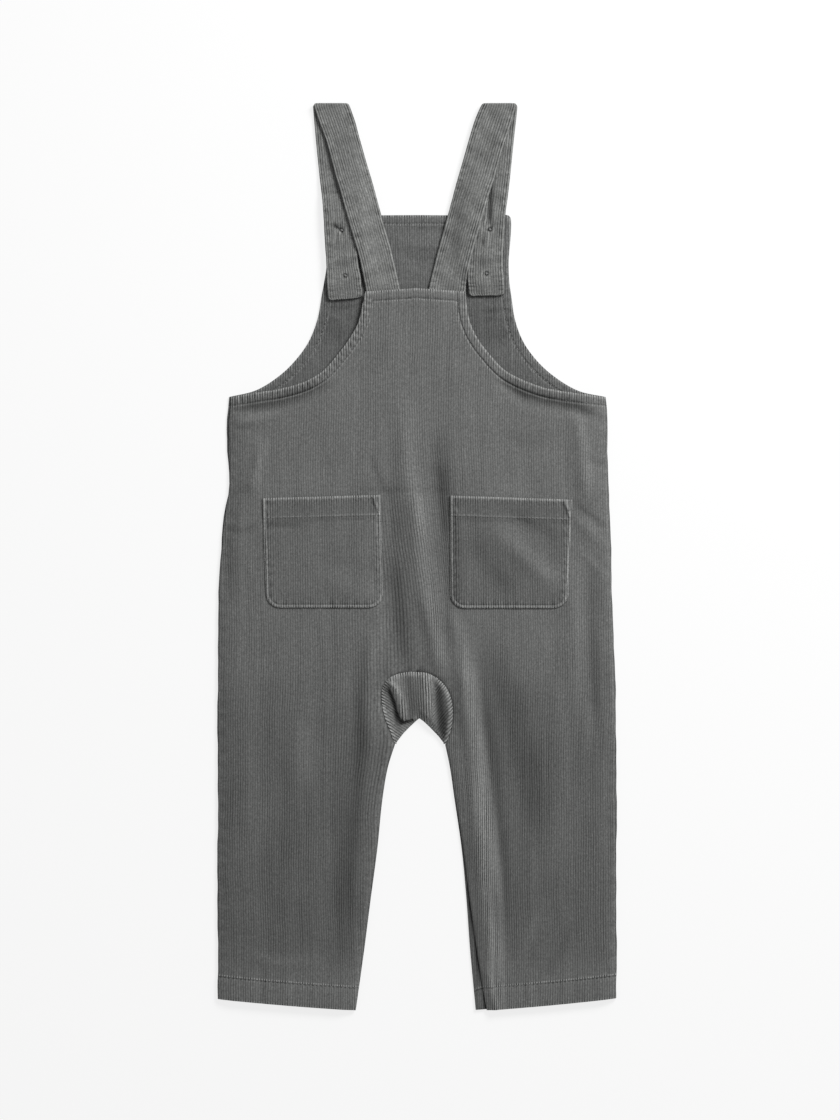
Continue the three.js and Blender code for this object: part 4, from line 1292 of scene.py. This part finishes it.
def corduroy_group():
    """The node group: the wales' ridges first, then what makes them uneven, then the wear with its painted
    light and shade
    """
    group = bpy.data.node_groups.new("corduroy wales", "ShaderNodeTree")
    inputs = [("Grain", "Vector"), ("Edge", "Vector"), ("Row", "Vector"), ("Wear and painted light", "Float"),
              ("Colour", "Color"), ("Groove", "Float"), ("Streaks", "Float"), ("Paling", "Float")]
    for way, sockets in (("INPUT", inputs), ("OUTPUT", [("Colour", "Color"), ("Height", "Float")])):
        for label, kind in sockets:
            group.interface.new_socket(name=label, in_out=way, socket_type="NodeSocket" + kind)
    given = group.nodes.new("NodeGroupInput").outputs
    result = group.nodes.new("NodeGroupOutput").inputs
    grain = given["Grain"]
    u, v, _ = split(grain)
    wander = (noise(grain, 55) - 0.5) * WANDER
    wale = (u + wander) / WALE_PITCH
    number = wale.math("FLOOR")
    ridge = (wale * math.pi).math("SINE").math("ABSOLUTE")
    round_ridge = ridge.math("POWER", 0.7)

    # how the pile varies: along each wale, over a few wales, in patches, and from fibre to fibre
    streak = noise(join(number * 7.31, v * 70.0), 1.0, 4.0, 0.75)
    worn_wale = noise(join(number * 3.37, v * 9.0), 1.0, 2.0, 0.5)
    patches = noise(grain, 30, 5.0, 0.65)
    pile = noise(join(u, v * 0.5), 1500, 3.0, 0.65)
    flecks = noise(join(u, v * 0.6), 620, 2.0, 0.7)

    # the groove is deeper where the cloth is worn or shaded, and the pile's unevenness changes the tone
    sewn, sewn_height = sewing(given["Edge"], given["Row"], wander, ridge)
    wear_and_painted_light = Signal(given["Wear and painted light"]) + sewn
    uneven = varied(streak, 4.0) + (worn_wale - 0.5) * 4.0
    uneven = uneven.math("MAXIMUM", 0.1).math("MINIMUM", 2.6)
    groove = Signal(given["Groove"]) * (wear_and_painted_light.math("ABSOLUTE") * 1.1 + 1.0) * uneven
    shade = (round_ridge - 1.0) * groove + 1.0
    shade = shade * varied(streak, given["Streaks"]) * varied(pile, 1.4) * varied(patches, 0.42)
    shade = shade * ((flecks - 0.5) * given["Groove"] * 2.8 + 1.0)
    # real wear and painted light and shade make the cloth paler and darker here
    shade = shade * (wear_and_painted_light * given["Paling"] + 1.0).math("MAXIMUM", 0.4)
    colour = add_node(group, "VectorMath", {0: given["Colour"], "Scale": shade}, operation="SCALE")
    feed(result, {"Colour": colour.outputs[0], "Height": pile * 0.35 + round_ridge + sewn_height})
    return group


CORDUROY = corduroy_group()


def new_material(name):
    """A new material, its node tree and the inputs of its shader"""
    material = bpy.data.materials.new(name)
    material.use_nodes = True
    return material, material.node_tree, material.node_tree.nodes["Principled BSDF"].inputs


def corduroy(name, colour, groove=0.36, streaks=0.8, paling=0.45, bump=0.5):
    """A corduroy with its own colour, depth of groove, unevenness, paling by wear and by painted light and
    shade, and relief
    """
    material, tree, shader = new_material(name)
    wear_and_painted_light, edge, row = (add_node(tree, "Attribute", attribute_name=k) for k in ("wear_and_painted_light", "edge", "row"))
    wales = add_node(tree, "Group", node_tree=CORDUROY)
    feed(wales.inputs, {
        "Grain": add_node(tree, "UVMap", uv_map="grain_uv").outputs["UV"],
        "Wear and painted light": wear_and_painted_light.outputs["Fac"], "Edge": edge.outputs["Vector"], "Row": row.outputs["Vector"],
        "Colour": (*colour, 1), "Groove": groove, "Streaks": streaks, "Paling": paling,
    })
    relief = {"Strength": bump, "Distance": WALE_DEPTH, "Height": wales.outputs["Height"]}
    feed(shader, {
        "Base Color": wales.outputs["Colour"], "Normal": add_node(tree, "Bump", relief).outputs["Normal"],
        "Roughness": 0.92, "Specular IOR Level": 0.25, "Sheen Weight": 0.12, "Sheen Roughness": 0.5,
    })
    return material


body_cloth = corduroy("grey corduroy", (0.150, 0.152, 0.149))
wrong_side = corduroy("inside of the corduroy", (0.126, 0.128, 0.126), groove=0.44, streaks=1.0, bump=0.4)
strap_cloth = corduroy(
    "grey corduroy of the straps", (0.182, 0.185, 0.180), groove=0.44, streaks=1.3, paling=0.5)
for piece in (back, gusset, *pockets.values()):
    piece.data.materials.append(body_cloth)
back.data.materials.append(wrong_side)
front.data.materials.append(wrong_side)
front.data.materials.append(body_cloth)
for piece in straps.values():
    piece.data.materials.append(strap_cloth)
print("wales", round(WALE_PITCH / MM, 2), "mm apart")

# %% [markdown]
# ## Thread and buttons
# The thread is a matt cotton in the cloth's grey. The buttons are plain plastic. They lie under the bib
# and under the straps, so they keep the plain model's shape and only get a satin finish with a faint
# cloudiness, as cast plastic has.

# %% Thread and buttons
def plain_material(name, colour, rough, scale, change):
    """A plain finish whose tone changes a little, by the change up and down"""
    material, tree, shader = new_material(name)
    cloud = noise(add_node(tree, "TexCoord").outputs["Object"], scale, 3.0)
    blend = add_node(tree, "MapRange", {"Value": cloud, "To Min": 1 - change, "To Max": 1 + change})
    tint = add_node(tree, "VectorMath", {0: colour, "Scale": blend.outputs["Result"]}, operation="SCALE")
    feed(shader, {"Base Color": tint.outputs[0], "Roughness": rough})
    return material


thread_cotton = plain_material("grey thread", (0.24, 0.242, 0.238), 0.8, 900, 0.2)
for piece in threads:
    piece.data.materials.append(thread_cotton)
button_plastic = plain_material("grey button plastic", (0.06, 0.06, 0.06), 0.35, 220, 0.15)
for name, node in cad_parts.items():
    if name.startswith("button_"):
        node.data.materials.clear()
        node.data.materials.append(button_plastic)

# %% [markdown]
# ## Floor and light
# The picture has a plain white ground and soft light that comes from the top right, so shadows lie just
# left of and below each edge. A large soft lamp gives that, and the world fills the rest.

# %% Floor and light
FLOOR_SIZE, FLOOR_DROP = 6.0, 0.3 * MM
GLOW = 0.775                                # brings the ground to the picture's white
WORLD_LIGHT, KEY_POWER, KEY_SIZE = 0.36, 27, 0.62
bm = bmesh.new()
bmesh.ops.create_grid(bm, x_segments=1, y_segments=1, size=FLOOR_SIZE / 2)
bmesh.ops.translate(bm, verts=bm.verts, vec=(0, 0, -FLOOR_DROP))
floor = mesh_object("floor", bm)
ground = plain_material("white ground", (0.19, 0.19, 0.19), 0.9, 3, 0.004)
feed(ground.node_tree.nodes["Principled BSDF"].inputs, {
    "Emission Color": (1, 1, 1, 1), "Emission Strength": GLOW})
floor.data.materials.append(ground)
floor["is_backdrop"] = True

KEY_FROM = Vector((0.80, 1.00, 1.05))      # to the right, beyond the straps and above
key_light = bpy.data.lights.new("key", "AREA")
key_light.size = KEY_SIZE
key_light.energy = KEY_POWER
key = add_object("key", key_light)
key.location = KEY_FROM
key.rotation_euler = KEY_FROM.to_track_quat("Z", "Y").to_euler()
world = bpy.data.worlds.new("studio")
bpy.context.scene.world = world
world.use_nodes = True
feed(world.node_tree.nodes["Background"].inputs, {"Color": (1, 1, 1, 1), "Strength": WORLD_LIGHT})
bpy.context.scene.view_settings.view_transform = "Standard"

# %% Sizes, and finish
bpy.context.view_layer.update()
VISUAL_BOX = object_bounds()
as_lists = [[list(map(float, corner)) for corner in box] for box in (CAD_BOX, VISUAL_BOX)]
print("grown by mm:", [[round((b - a) / MM, 2) for a, b in zip(*pair)] for pair in zip(*as_lists)])
